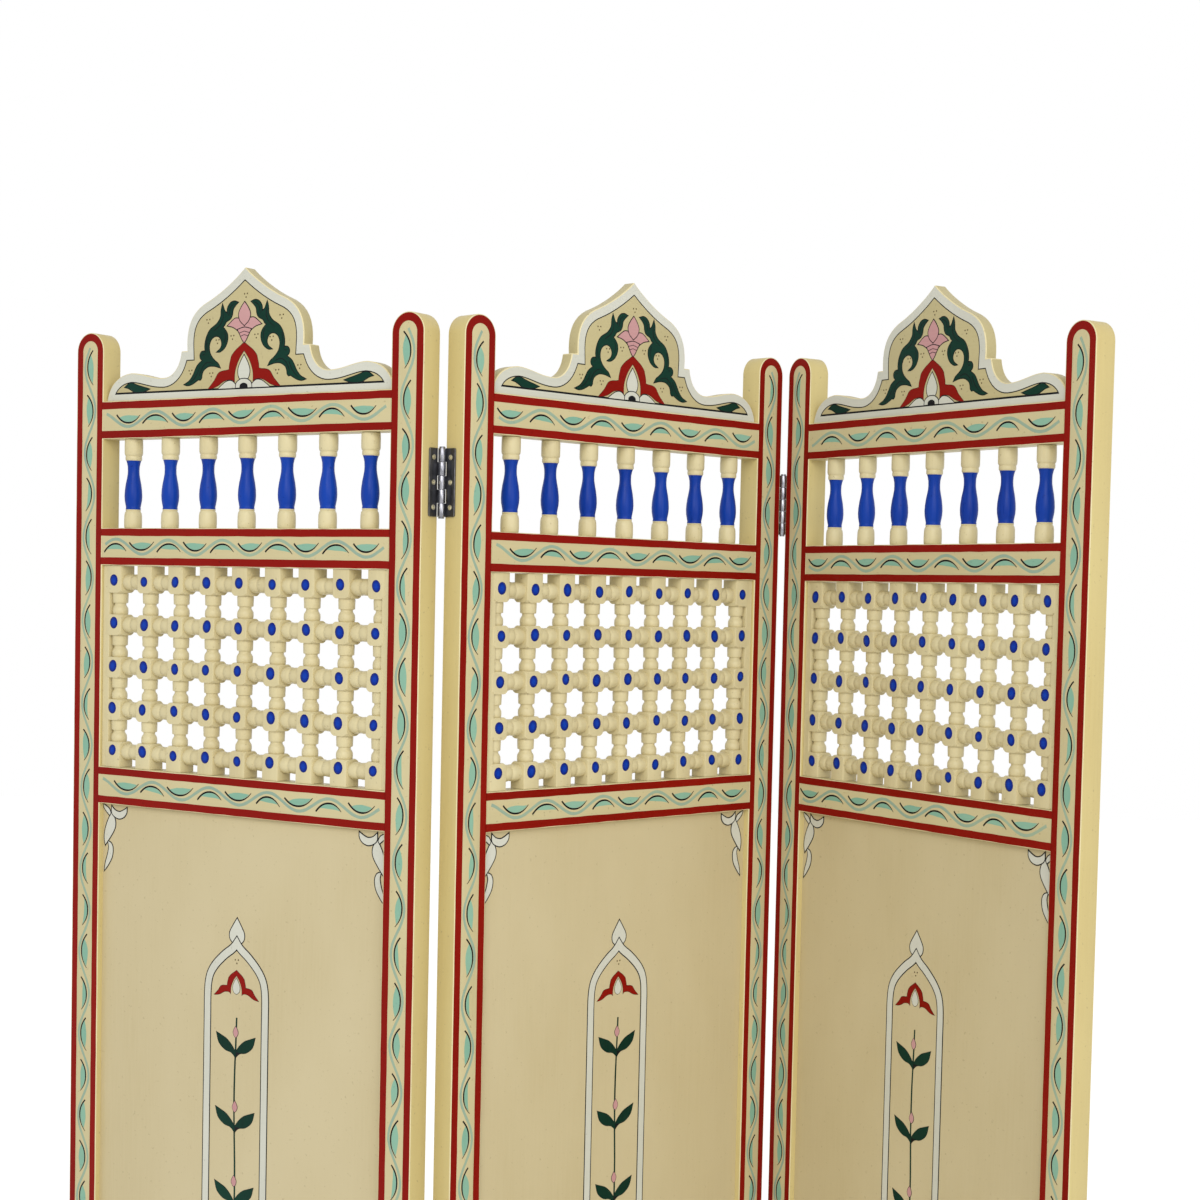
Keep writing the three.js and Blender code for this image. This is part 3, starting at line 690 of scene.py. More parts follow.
# %% [markdown]
# ## The lattice
#
# Nine columns and five rows of square blocks, joined by turned links, make the lattice. On the real
# screen every column is one long turning that leaves square blocks standing, and the level links
# are pegged between. The block at the foot of a column, the one at its head and those between, one
# upright link and one level link are modelled, with few faces because there are hundreds of them.
# They are then copied over the grid and joined.

# %% One block
COLUMNS, ROWS = 9, 5
BLOCK, BLOCK_TALL = 22.5, 23.5
BLOCK_DROP = 1
END_COLUMN, END_ROW = 17.5, 18
LATTICE_MIDDLE = (LATTICE_FRONT + LATTICE_BACK) / 2
LATTICE_FOOT = RAILS["lower"] + RAIL + SEAT_GAP
LATTICE_HEAD = RAILS["middle"] - SEAT_GAP
FIRST_COLUMN = LEFT_EDGE + END_COLUMN
FIRST_ROW = RAILS["lower"] + RAIL + END_ROW
ACROSS = (RIGHT_EDGE - END_COLUMN - FIRST_COLUMN) / (COLUMNS - 1)
UP = (RAILS["middle"] - END_ROW - FIRST_ROW) / (ROWS - 1)
SHOULDER_CUT = [(12, 0), (13.2, 0.8), (14.3, 2), (15.2, 3.5), (16, 5.4)]
SQUARE_RADIUS = 16


def new_block(z0, z1, round_foot=True, round_head=True):
    """A block from z0 to z1. The lathe has rounded its corners towards the links beside it."""
    half = BLOCK / 2
    deep = (LATTICE_BACK - LATTICE_FRONT) / 2
    block = bar("block", (-half, -deep, z0), (half, deep, z1))
    bevel_edges(block, runs_in("z"), 1.2, 2)
    foot, head = [(SQUARE_RADIUS, z0 - 1)], [(SQUARE_RADIUS, z1 + 1)]
    if round_foot:
        foot = [(r, z0 + h) for r, h in SHOULDER_CUT]
    if round_head:
        head = [(r, z1 - h) for r, h in reversed(SHOULDER_CUT)]
    swept = turned("swept", foot + head, 20)
    pick(block)
    cut = block.modifiers.new("lathe", "BOOLEAN")
    cut.operation = "INTERSECT"
    cut.object = swept
    cut.solver = "EXACT"
    bpy.ops.object.modifier_apply(modifier=cut.name)
    bpy.data.objects.remove(swept)
    bpy.ops.object.shade_smooth_by_angle(angle=math.radians(34))
    return block


block_low = -BLOCK_TALL / 2 - BLOCK_DROP
block_high = BLOCK_TALL / 2 - BLOCK_DROP
to_head = LATTICE_HEAD - FIRST_ROW - UP * (ROWS - 1)
blocks = {
    "foot": new_block(LATTICE_FOOT - FIRST_ROW, block_high, round_foot=False),
    "inner": new_block(block_low, block_high),
    "head": new_block(block_low, to_head, round_head=False),
}
print("block:", len(blocks["inner"].data.polygons), "faces")

# %% The two links
UPRIGHT_PROFILE = [
    (8, -0.2), (8.4, 0.5), (8.8, 1.5), (8.9, 4), (8.7, 7), (7.7, 8.9), (6.7, 10.3), (6.4, 11.6),
    (6.8, 12.8), (8.3, 13.2), (8.7, 14), (8.8, 18), (9, 22.6), (8.8, 24), (8.8, 24.7),
]
LEVEL_PROFILE = [
    (8.2, -0.2), (8.9, 1), (9.3, 4), (9.2, 8), (8.7, 10.5), (8.1, 11.5), (8.1, 12.1), (8.8, 13),
    (9.1, 17), (8.9, 21), (8.4, 24), (8.2, 25.3),
]
upright = turned("upright", UPRIGHT_PROFILE, 14)
level = turned("level", LEVEL_PROFILE, 14)
level.data.transform(Matrix.Rotation(math.radians(90), 4, "Y"))
print("links:", len(upright.data.polygons), len(level.data.polygons), "faces")


# %% Join the lattice
STRIP_REACH = 10
STRIP_IN_FRONT, STRIP_IN_BACK = 0.6, 0.8


def new_lattice(name):
    """All the blocks and links of a panel, and the thin strip at each side that carries them."""
    pieces = []

    def add(model, x, z):
        twin = copied(model, "part")
        twin.data.transform(Matrix.Translation((x, LATTICE_MIDDLE, z)))
        pieces.append(twin)
    for column in range(COLUMNS):
        x = FIRST_COLUMN + ACROSS * column
        for row in range(ROWS):
            z = FIRST_ROW + UP * row
            kind = "foot" if row == 0 else "head" if row == ROWS - 1 else "inner"
            add(blocks[kind], x, z)
            if row < ROWS - 1:
                add(upright, x, z + block_high)
            if column < COLUMNS - 1:
                add(level, x + BLOCK / 2, z - BLOCK_DROP / 2)
    for x0, x1 in ((LEFT_EDGE + SEAT_GAP, LEFT_EDGE + STRIP_REACH),
                   (RIGHT_EDGE - STRIP_REACH, RIGHT_EDGE - SEAT_GAP)):
        side = bar("strip", (x0, LATTICE_FRONT + STRIP_IN_FRONT, LATTICE_FOOT),
                   (x1, LATTICE_BACK - STRIP_IN_BACK, LATTICE_HEAD))
        bevel_edges(side, runs_in("z"), 0.6, 2)
        pieces.append(side)
    pick(*pieces)
    bpy.ops.object.join()
    joined = bpy.context.object
    joined.name = name
    coat(joined, lattice_cream)
    return joined


for panel in PANELS:
    lattice = new_lattice(f"{panel}_lattice_turned")
    stand(lattice, panel, [f"{panel}_lattice"])
for model in (*blocks.values(), upright, level):
    bpy.data.objects.remove(model)
print("lattice:", len(lattice.data.polygons), "faces")

# %% [markdown]
# ## Laying on paint
#
# The ornament is paint on paint, a tenth of a millimetre thick. An image would need a file, and a
# drawing in nodes would be hard to read, so each colour is a flat curve, filled and given the
# thickness of the coat. Its outline can then be as crisp and as uneven as a brush makes it. Where
# one colour crosses another, the later coat is a little thicker and lies on top. Outlines are drawn
# as a painter on wood does: a black shape first, and the colour laid over all but its rim.

# %% From outlines to coats of paint
FIRST_COAT = 0.08
NEXT_COAT = 0.035


def flat_coat(rings, half):
    """One closed sheet for all the rings, half its thickness on each side of the surface."""
    curve = bpy.data.curves.new("coat", "CURVE")
    curve.dimensions = "2D"
    curve.fill_mode = "BOTH"
    curve.extrude = half
    for ring in rings:
        spline = curve.splines.new("POLY")
        spline.points.add(len(ring) - 1)
        for point, (x, z) in zip(spline.points, ring):
            point.co = (x, z, 0, 1)
        spline.use_cyclic_u = True
    sheet = bpy.data.objects.new("coat", curve)
    bpy.context.collection.objects.link(sheet)
    return sheet


def lay_paint(panel, part, front, coats, along="z"):
    """Coats are (colour, layer, rings). One piece is made of each colour."""
    for colour in sorted({c[0] for c in coats}):
        sheets = []
        for _, layer, rings in [c for c in coats if c[0] == colour]:
            sheets.append(flat_coat(rings, FIRST_COAT + NEXT_COAT * layer))
        pick(*sheets)
        bpy.ops.object.convert(target="MESH")
        if len(sheets) > 1:
            bpy.ops.object.join()
        piece = bpy.context.object
        piece.name = f"{panel}_{part}_{colour}"
        piece.data.transform(Matrix.Translation((0, front, 0))
                             @ Matrix.Rotation(math.radians(90), 4, "X"))
        piece.matrix_world = Matrix.Identity(4)
        bpy.ops.object.mode_set(mode="EDIT")
        bpy.ops.mesh.select_all(action="SELECT")
        bpy.ops.mesh.remove_doubles(threshold=0.002)
        bpy.ops.mesh.normals_make_consistent(inside=False)
        bpy.ops.object.mode_set(mode="OBJECT")
        coat(piece, INKS[colour])
        stand(piece, panel, along=along)


print("the first coat stands", FIRST_COAT, "mm off the wood, and each later one", NEXT_COAT, "more")

# %% [markdown]
# ## Brush strokes
#
# Lines made by hand waver. A stroke follows a path with a width that changes along it, and both
# its edges are moved by a small random amount.

# %% A stroke of the brush
def stroke(path, width, waver=0.0):
    """The outline of a stroke along a path. Width is a number, or a function from 0 to 1."""
    flat = [Vector(p) for p in path]
    left, right = [], []
    last = len(flat) - 1
    for i, here in enumerate(flat):
        run = (flat[min(i + 1, last)] - flat[max(i - 1, 0)]).normalized()
        side = Vector((-run.y, run.x))
        half = (width(i / last) if callable(width) else width) / 2
        left.append(tuple(here + side * (half + chance.uniform(-waver, waver))))
        right.append(tuple(here - side * (half + chance.uniform(-waver, waver))))
    return left + right[::-1]


def tapered(thick):
    """A width that is full for the first half of the stroke and then fades."""
    def width(t):
        return thick * min(1, 0.95 + t) * min(1, 0.35 + (1 - t) * 1.5)
    return width


print("a tapered stroke ends at", round(tapered(1)(1), 2), "of its width")


# %% A leaf and the arc behind it
LEAF_GAP = 1.05


def leaf(length, dip, rise, back, crescent):
    """An arc and the leaf inside it, along X, open upwards. Returns the arc's path and the leaf."""
    half = length / 2

    def arc_level(share):
        return -dip + (rise + dip) * abs(share) ** 2.25
    arc = [(half * k / 8, arc_level(k / 8)) for k in range(-8, 9)]
    low, high = chance.uniform(-0.84, -0.68), chance.uniform(0.8, 0.92)
    inner, outer = [], []
    for k in range(13):
        t = k / 12
        share = low + (high - low) * t
        z = arc_level(share) + LEAF_GAP
        swell = 1 - (2 * t - 1) ** 2
        top = z + back * swell
        if not crescent:
            ends = (arc_level(low) * (1 - t) + arc_level(high) * t) + LEAF_GAP
            top = ends + (back - ends) * swell + chance.uniform(-0.15, 0.15)
        inner.append((half * share, z))
        if 0 < k < 12:
            outer.append((half * share, max(top, z + 0.1)))
    return arc, inner + outer[::-1]


print("a leaf lies", LEAF_GAP, "mm inside its arc")

# %% [markdown]
# ## The border of the frame
#
# Red lines follow both edges of every post and join round its head, and run along both edges of the
# rails. Between them a thin green-blue wave winds along, and in each of its bends sits a leaf with
# a black arc for its back. The painter kept no exact measure, so the leaves differ a little.

# %% Red lines
POST_RED = (1.0, 9.3)
RAIL_RED = (0.8, 8.8)
RED_LAP = 1.5
POST_WAVER, RAIL_WAVER = 0.2, 0.22


def level_line(x0, x1, z0, z1):
    """A band along a rail with edges that waver."""
    count = 28
    xs = [x0 + (x1 - x0) * k / count for k in range(count + 1)]
    low = [(x, z0 + chance.uniform(-RAIL_WAVER, RAIL_WAVER)) for x in xs]
    high = [(x, z1 + chance.uniform(-RAIL_WAVER, RAIL_WAVER)) for x in xs]
    return low + high[::-1]


def post_red(x0):
    """The red line up one side of a post, round its head and down the other side."""
    middle = x0 + POST / 2
    spring = POST_TOP - POST / 2

    def side_by(reach):
        radius = POST / 2 - reach
        levels = [2 + (spring - 6) * k / 84 for k in range(85)]
        up = [(middle - radius + chance.uniform(-POST_WAVER, POST_WAVER), z) for z in levels]
        head = [(middle - radius * math.cos(math.pi * k / 18),
                 spring + radius * math.sin(math.pi * k / 18)) for k in range(19)]
        down = [(middle + radius + chance.uniform(-POST_WAVER, POST_WAVER), z)
                for z in reversed(levels)]
        return up + head + down
    outer, inner = POST_RED
    return side_by(outer) + side_by(inner)[::-1]


print("red lines:", POST_RED[1] - POST_RED[0], "mm wide on a post")


# %% Waves and leaves
POST_PITCH = 47.5
POST_SWING, RAIL_SWING = 8.3, 8.2
POST_LEAF, RAIL_LEAF = 37, 36
FIRST_LEAF = 41
WAVE_HEAD, WAVE_FOOT, WAVE_STEP = 17, 13, 6


def post_wave(x0):
    """The wave, the arcs and the leaves of one post. Its first leaf turns its back outwards."""
    middle = x0 + POST / 2
    first = POST_TOP - FIRST_LEAF + chance.uniform(-3, 2)
    bulge = -1 if x0 < MIDDLE else 1
    steps = (POST_TOP - WAVE_HEAD - WAVE_FOOT) // WAVE_STEP
    levels = [POST_TOP - WAVE_HEAD - WAVE_STEP * k for k in range(steps + 1)]
    wave = [(middle + bulge * POST_SWING * math.cos(math.pi * (first - z) / POST_PITCH)
             + 0.5 * math.sin(z / 61), z) for z in levels]
    arcs, leaves = [], []
    for index in range(int((first - 30) / POST_PITCH) + 1):
        z = first - POST_PITCH * index + chance.uniform(-1.6, 1.6)
        side = -bulge if index % 2 == 0 else bulge
        arc, inside = leaf(POST_LEAF + chance.uniform(-2, 3), 4.4, 4.2,
                           5.2 + chance.uniform(-1, 0.8), chance.random() < 0.2)
        slip = middle + chance.uniform(-0.6, 0.6)
        lean = chance.uniform(-0.05, 0.05)
        arcs.append(stroke([(slip + side * t + lean * s, z - s) for s, t in arc], tapered(1.7)))
        leaves.append([(slip + side * t + lean * s, z - s) for s, t in inside])
    return [stroke(wave, 3.0, 0.15)], arcs, leaves


def rail_wave(underside, cup_first, count, start, end):
    """The wave, the arcs and the leaves of one rail, from start to end, in mm from its ends."""
    level = underside + RAIL / 2
    first = LEFT_EDGE + start
    pitch = (RIGHT_EDGE - end - first) / (count - 1)
    sign = -1 if cup_first else 1
    steps = int((RIGHT_EDGE - LEFT_EDGE - 12) / 4)
    xs = [LEFT_EDGE + 6 + 4 * k for k in range(steps + 1)]
    wave = [(x, level + sign * RAIL_SWING * math.cos(math.pi * (x - first) / pitch)
             + 0.4 * math.sin(x / 37)) for x in xs]
    arcs, leaves = [], []
    for index in range(count):
        x = first + pitch * index + chance.uniform(-1.4, 1.4)
        flip = -sign if index % 2 == 0 else sign
        arc, inside = leaf(RAIL_LEAF + chance.uniform(-2.5, 4), 3.4, 5.4, 4.9, flip < 0)
        tilt = chance.uniform(-0.06, 0.06)
        lift = level + chance.uniform(-0.5, 0.5)
        arcs.append(stroke([(x + s, lift + flip * t + tilt * s) for s, t in arc], tapered(1.9)))
        leaves.append([(x + s, lift + flip * t + tilt * s) for s, t in inside])
    return [stroke(wave, 3.3, 0.15)], arcs, leaves


print("leaves on a post stand", POST_PITCH, "mm apart")

# %% [markdown]
# The leaves of each rail were counted in the photograph: whether the first is a cup or an arch, how
# many there are, and how far the first and the last stand from the rail's ends.

# %% Paint the frames
PLAIN_RAIL = (True, 9, 42, 31)
RAIL_LEAVES = {
    "left": {"top": (True, 9, 40, 35), "middle": (False, 10, 23, 29)},
    "centre": {"top": (True, 9, 22, 28), "middle": (True, 9, 43, 26)},
    "right": {"top": (False, 8, 43, 32), "middle": (True, 9, 22, 36), "lower": (True, 9, 18, 37)},
}
for panel in PANELS:
    coats = []
    for x0 in (0, RIGHT_EDGE):
        wave, arcs, leaves = post_wave(x0)
        coats += [("red", 0, [post_red(x0)]), ("wash", 0, wave), ("teal", 1, leaves),
                  ("black", 2, arcs)]
    lay_paint(panel, "post_ornament", 0, coats)
    coats = []
    for level_name, underside in RAILS.items():
        wave, arcs, leaves = rail_wave(underside, *RAIL_LEAVES[panel].get(level_name, PLAIN_RAIL))
        ends = (LEFT_EDGE - RED_LAP, RIGHT_EDGE + RED_LAP)
        near, far = RAIL_RED
        head = underside + RAIL
        lines = [level_line(*ends, underside + near, underside + far),
                 level_line(*ends, head - far, head - near)]
        coats += [("red", 0, lines), ("wash", 0, wave), ("teal", 1, leaves), ("black", 2, arcs)]
    lay_paint(panel, "rail_ornament", 0, coats, along="x")
print("frame ornament laid")

# %% [markdown]
# ## The crest's ornament
#
# A white border follows the outline, with a fine black line inside. Within it a red arch rises
# from the base over a white bud, a pink flower stands on the arch, and a dark green scroll climbs
# on each side. All of it is drawn for one half, in millimetres from the middle and from the
# crest's foot, and mirrored.

# %% Draw the crest's shapes
SCROLL = [
    (9.7, 100.8, 1), (14.9, 102.3), (20.4, 100.9), (24.4, 96.4), (25.2, 92.3), (24.3, 89.1, 1),
    (28.9, 92.3), (32.3, 99.6, 1), (34, 94.1), (34.5, 87.4), (37, 82.8), (41.1, 78.7),
    (48.6, 74.5), (52.7, 70.4), (56.2, 63.6), (57.6, 56.8), (57.2, 51.9), (55.5, 47.6, 1),
    (58.1, 50.4), (62.4, 50), (64.7, 46.6), (63.7, 42.8), (60.3, 40.8, 1), (64.3, 38.6),
    (68.8, 35), (72.2, 29.6), (75.3, 24.4), (80.6, 18.8), (87.8, 15.4, 1), (82.6, 14.4),
    (76.8, 15.4), (71, 18), (66.6, 20.4, 1), (63.9, 19.8), (62, 22, 1), (61.4, 26), (59.5, 29.7),
    (55.8, 32.4), (50.8, 34.2), (43, 34), (35, 32, 1), (38, 36.4), (42.4, 39.4), (47.1, 43.6),
    (50.4, 49), (51.3, 55.4), (49.8, 60.8), (46.3, 64.6), (41.1, 66.3), (36.1, 64.8),
    (33.3, 60.8), (32.7, 56.3), (35, 52), (39.8, 49, 1), (34.5, 49.4), (28.3, 53.4), (24.6, 60.1),
    (24.6, 67.2), (28.5, 72.7), (32.3, 75.7, 1), (29.2, 77.2), (26.7, 80.8), (22.6, 82.7, 1),
    (19.8, 84.5), (17.8, 88.3), (16.8, 93.6), (13.6, 97.6),
]
SCROLL_VEINS = [
    [(14, 100.1), (19.9, 96.9), (21.8, 91.4), (23.2, 87.4)],
    [(31.7, 93.2), (31.2, 85), (35.5, 77.8), (44, 72.3)],
    [(29.3, 71), (27.3, 65), (29.3, 58.1)],
    [(53.7, 65.9), (55.3, 58.6), (53.7, 50.6)],
    [(57.6, 47.4), (60.9, 46.6)],
    [(44.9, 36.6), (53.1, 38.4), (59.5, 34.6), (63.4, 28)],
    [(64.3, 35), (67.6, 28), (73, 21.4), (78.7, 17.4)],
    [(59.9, 35), (63.7, 28.6), (65.3, 24)],
]
END_LEAF = [(141, 12.4, 1), (154.5, 15.6), (161.6, 17.6), (167.9, 19.6), (173.3, 19.2),
            (179.2, 15.6, 1), (174.2, 14.5), (168.8, 12), (163.5, 9.8), (151, 9.8)]
BUD = [(0, 100.6, 1), (4.8, 95), (8.3, 88), (6, 81), (0, 76, 1), (-6, 81), (-8.3, 88), (-4.8, 95)]
PETAL = [(0, 75, 1), (4, 81), (9, 83.5), (15, 83), (24, 76.5, 1), (17, 75), (12, 72.5), (8, 70),
         (2, 70, 1)]
CUP = [(-9.5, 71.5, 1), (0, 73.5), (9.5, 71.5, 1), (6, 66), (3, 61), (0, 57.5, 1), (-3, 61),
       (-6, 66)]
ARCH = [
    (0, 58, 1), (6.5, 53.6), (12.6, 49.5), (18, 44), (19.6, 39.6), (21.2, 34), (21.6, 29.5, 1),
    (25, 28.7), (32, 28), (37.7, 25.6), (43.3, 18), (52.4, 9.4, 1), (45, 10.2), (37.7, 12.4),
    (29, 17), (21, 18.4), (15.6, 17.7, 1), (13.4, 15.5, 1), (13.4, 23), (11.8, 30.5), (7, 40.4),
    (0, 49, 1),
]
DROP = [(0, 44, 1), (5, 36.5), (8.3, 28), (6.5, 20), (0, 16), (-6.5, 20), (-8.3, 28), (-5, 36.5)]
LOBE = [(-11.5, 9.4, 1), (-10.5, 14.5), (-5, 18), (0, 18.6), (5, 18), (10.5, 14.5), (11.5, 9.4, 1)]
SIDE_LOBE = [(11, 9.2, 1), (12.8, 13.6), (18.4, 17), (25.4, 16.2), (31.6, 12.8), (37, 9.2, 1)]
PUPIL = [(-6, 9.4, 1), (-5, 12.8), (0, 14.6), (5, 12.8), (6, 9.4, 1)]
CREST_DOTS = [(1.6, 108), (53, 83), (39, 60.5), (17.4, 64), (79, 29), (48, 25)]
SMALL_DOT = 0.92


def small_dot(x, z):
    angles = [math.pi / 4 * k for k in range(8)]
    return [(x + SMALL_DOT * math.cos(a), z + SMALL_DOT * math.sin(a)) for a in angles]


def three_dots(x, z):
    """Two dots and one under them."""
    places = [(-2.1, 1.4), (2.2, 1.6), (0.2, -2.2)]
    return [small_dot(x + a + chance.uniform(-0.3, 0.3), z + b) for a, b in places]


def both(points):
    """The shape and its mirror image."""
    half = smooth(points, 3)
    return [half, mirrored(half)]


def red_arch():
    """The arch, whose half is open at the middle of the panel, drawn right round."""
    half = smooth(ARCH, 3, closed=False)
    return half[:-1] + [ARCH[-1][:2]] + mirrored(half[1:-1])


print("scroll:", len(SCROLL), "points, drawn as", len(both(SCROLL)[0]))


# %% Put coats together
def outlined(colour, layer, shapes, rim=1.0):
    """Coats for shapes with a black rim, without the loops that a rim makes at a tip."""
    rims = [clear_of(grown(s, rim), s, rim * 0.93) for s in shapes]
    return [("black", layer, rims), (colour, layer + 1, shapes)]


def carried(coats, x, z, flip=1):
    """The coats carried to a place, upside down where flip is -1."""
    return [(c, layer, [moved(r, x, z, flip) for r in rings]) for c, layer, rings in coats]


BORDER = 9.7
BORDER_LINE = 1.1
BASE_LAP = 2  # the border is narrower along the rail
painted_edge = [(x, z if z else -BASE_LAP) for x, z in crest_line]
border_in = inset(painted_edge, BORDER)
border_line = inset(painted_edge, BORDER + BORDER_LINE)
print("border:", len(border_in), len(border_line), "points")


# %% Lay the crest's paint
def crest_coats():
    coats = [("white", 0, [grown(crest_line, -1.0), border_in]),
             ("black", 0, [border_in, border_line])]
    coats += outlined("green", 1, both(SCROLL) + both(END_LEAF), 0.9)
    veins = [smooth(path, 3, closed=False) for path in SCROLL_VEINS]
    veins += [mirrored(vein) for vein in veins]
    coats += [("black", 3, [stroke(vein, tapered(0.9)) for vein in veins])]
    coats += outlined("red", 1, [red_arch()], 0.4)
    for shape in both(PETAL):
        coats += outlined("pink", 2, [shape])
    coats += outlined("pink", 4, [smooth(CUP, 3)])
    coats += [("black", 6, [stroke([(-7.4, 67.8), (0, 69.6), (7.4, 67.8)], 0.7)]),
              ("black", 6, [stroke([(-5.4, 64.4), (0, 65.8), (5.4, 64.4)], 0.7)])]
    coats += outlined("pink", 4, [smooth(BUD, 3)])
    coats += outlined("white", 1, [smooth(DROP, 3)])
    coats += outlined("white", 1, both(SIDE_LOBE))
    coats += outlined("white", 3, [smooth(LOBE, 3)])
    coats += [("black", 5, [smooth(PUPIL, 3)])]
    dots = []
    for x, z in CREST_DOTS:
        dots += three_dots(x, z)
        if x > 5:
            dots += three_dots(-x, z)
    coats += [("brown", 0, dots)]
    return carried(coats, MIDDLE, CREST_BASE)


for panel in PANELS:
    lay_paint(panel, "crest_ornament", CREST_FRONT, crest_coats(), along="x")
print("crest ornament laid")

# %% [markdown]
# ## The board's ornament
#
# In each upper corner of the board hangs a small white spray: a cup under the rail, a petal beside
# it and two leaves below. In the middle stands one tall white frame with an ogee at its head and a
# bud on its tip. The photograph stops there. The rest is a guess in the same hand: the frame closes
# below as it does above, a stem with pairs of leaves climbs in it, and the sprays are repeated at
# the foot.

# %% Draw the board's shapes
TRUMPET = [(17, -3.5, 1), (22, -7.5), (29, -9), (35, -7), (40.5, -4, 1), (40, -9.5), (35.5, -14.5),
           (28, -16.5), (20.5, -14), (17, -10)]
OUTER_PETAL = [(15, -11, 1), (12.5, -6.5), (8, -4), (3.5, -1.8, 1), (5, -6), (9, -10),
               (13.5, -13.5, 1)]
LONG_LEAF = [(15.5, -10, 1), (20, -14.5), (22.6, -21), (21.4, -28.5), (15, -38), (7, -47.5, 1),
             (5.4, -40), (6.6, -30.5), (10, -21.5), (13.6, -15)]
SMALL_LEAF = [(11, -43.5, 1), (16.6, -46), (19, -52.5), (17.2, -62), (11.6, -70.5), (6, -77, 1),
              (7.6, -68), (10.8, -59), (12.6, -51), (12, -47)]
SPRAY_SHIFT = {"left": (-3, -3), "centre": (-3, 0), "right": (-3, -3)}
BOARD_BUD = [(0, 0, 1), (6, -8.5), (10.4, -16), (9.8, -23), (4.6, -27.5), (0, -28.5), (-4.6, -27.5),
             (-9.8, -23), (-10.4, -16), (-6, -8.5)]
OGEE_ARM = [(0, 0, 1), (8, -9.5), (20, -18), (33, -29.5), (41, -40), (45, -51), (46.5, -66),
            (46.5, -90)]
STEM_LEAF = [(0, 0, 1), (6.44, 5), (15.64, 7), (24.84, 14), (28.52, 25, 1), (20.24, 22),
             (12.88, 19), (5.52, 13), (0, 6, 1)]
BUD_TIP = BOARD_HEAD - 112
OGEE_TIP = BUD_TIP - 20
OGEE_FOOT = BOARD_FOOT + 125
LOWER_BUD_TIP = OGEE_FOOT - 19
OGEE_MIDDLE = (OGEE_TIP + OGEE_FOOT) / 2
SPRAY_RIM = 1.15
BAND, BAND_LINE = 8.5, 1.2


def ogee_frame():
    """The outline of the tall frame, from the middle of the panel and of the frame's height."""
    half = (OGEE_TIP - OGEE_FOOT) / 2
    head = [(x, half + z) for x, z in smooth(OGEE_ARM, 4, closed=False)]
    right = head + [(x, -z) for x, z in reversed(head)]
    return right + [(-x, z) for x, z in reversed(right[1:-1])]


print("the tall frame:", OGEE_TIP - OGEE_FOOT, "mm high")


# %% The sprays and the tall frame
def spray_coats(panel):
    """The four sprays of a board. The shift of a panel brings them towards its posts."""
    coats = []
    for flip, level in ((1, BOARD_HEAD), (-1, BOARD_FOOT)):
        for turn in (1, -1):
            shift = SPRAY_SHIFT[panel]
            x = LEFT_EDGE + shift[0] if turn > 0 else RIGHT_EDGE - shift[1]
            for step, shape in enumerate((SMALL_LEAF, LONG_LEAF, OUTER_PETAL, TRUMPET)):
                drawn = smooth(shape, 3)
                drawn = drawn if turn > 0 else mirrored(drawn)
                coats += carried(outlined("white", 2 * step, [drawn], SPRAY_RIM), x, level, flip)
    return coats


def frame_coats():
    """The tall frame: a white band between two black lines, with a bud on each of its tips."""
    outer = ogee_frame()
    inner = clear_of(grown(outer, -BAND), outer, BAND - 0.1)
    line = clear_of(grown(outer, -BAND - BAND_LINE), outer, BAND + BAND_LINE - 0.1)
    bud = outlined("white", 0, [smooth(BOARD_BUD, 3)], SPRAY_RIM)
    band = [("black", 2, [grown(outer, BAND_LINE), outer]), ("white", 3, [outer, inner]),
            ("black", 2, [inner, line])]
    return (carried(bud, MIDDLE, BUD_TIP) + carried(bud, MIDDLE, LOWER_BUD_TIP, -1)
            + carried(band, MIDDLE, OGEE_MIDDLE))


print("coats of the tall frame:", len(frame_coats()))


# %% Lay the board's paint
SMALL_ARCH = 0.62
ARCH_DROP = 37
STEM_GAP = 16
STEM_PAIRS = 8
FIRST_PAIR, LAST_PAIR = 20, 44
BUD_LIFT = 22
DOTS_IN = 27
PAINT_LIFT = 0.16  # clears the waves of the board


def stem_coats():
    """What fills the tall frame: an arch at each end, and a stem with leaves and buds."""
    coats = []
    arch = [(x * SMALL_ARCH, z * SMALL_ARCH) for x, z in red_arch()]
    drop = [(x * SMALL_ARCH, z * SMALL_ARCH) for x, z in smooth(DROP, 3)]
    arch_foot = OGEE_TIP - ARCH_DROP - ARCH[0][1] * SMALL_ARCH
    for flip, level in ((1, arch_foot), (-1, 2 * OGEE_MIDDLE - arch_foot)):
        coats += carried(outlined("red", 0, [arch], 0.4), MIDDLE, level, flip)
        coats += carried(outlined("white", 0, [drop], 0.5), MIDDLE, level, flip)
    stem_top = arch_foot - STEM_GAP
    stem_foot = 2 * OGEE_MIDDLE - stem_top
    path = [(MIDDLE + 1.2 * math.sin(k / 2), stem_foot + (stem_top - stem_foot) * k / 40)
            for k in range(41)]
    coats += [("green", 0, [stroke(path, 2.2, 0.1)])]
    bud = [(x * 0.42, (z - BUD[4][1]) * 0.5) for x, z in smooth(BUD, 3)]
    for k in range(STEM_PAIRS):
        rise = stem_top - LAST_PAIR - stem_foot - FIRST_PAIR
        level = stem_foot + FIRST_PAIR + rise * k / (STEM_PAIRS - 1)
        coats += carried(outlined("green", 1, both(STEM_LEAF), 0.45), MIDDLE, level)
        coats += carried(outlined("pink", 3, [bud], 0.5), MIDDLE, level + BUD_LIFT)
    dots = three_dots(MIDDLE, OGEE_TIP - DOTS_IN) + three_dots(MIDDLE, OGEE_FOOT + DOTS_IN)
    return coats + [("brown", 0, dots)]


for panel in PANELS:
    coats = spray_coats(panel) + frame_coats() + stem_coats()
    lay_paint(panel, "board_ornament", BOARD_FRONT - PAINT_LIFT, coats)
print("board ornament laid")

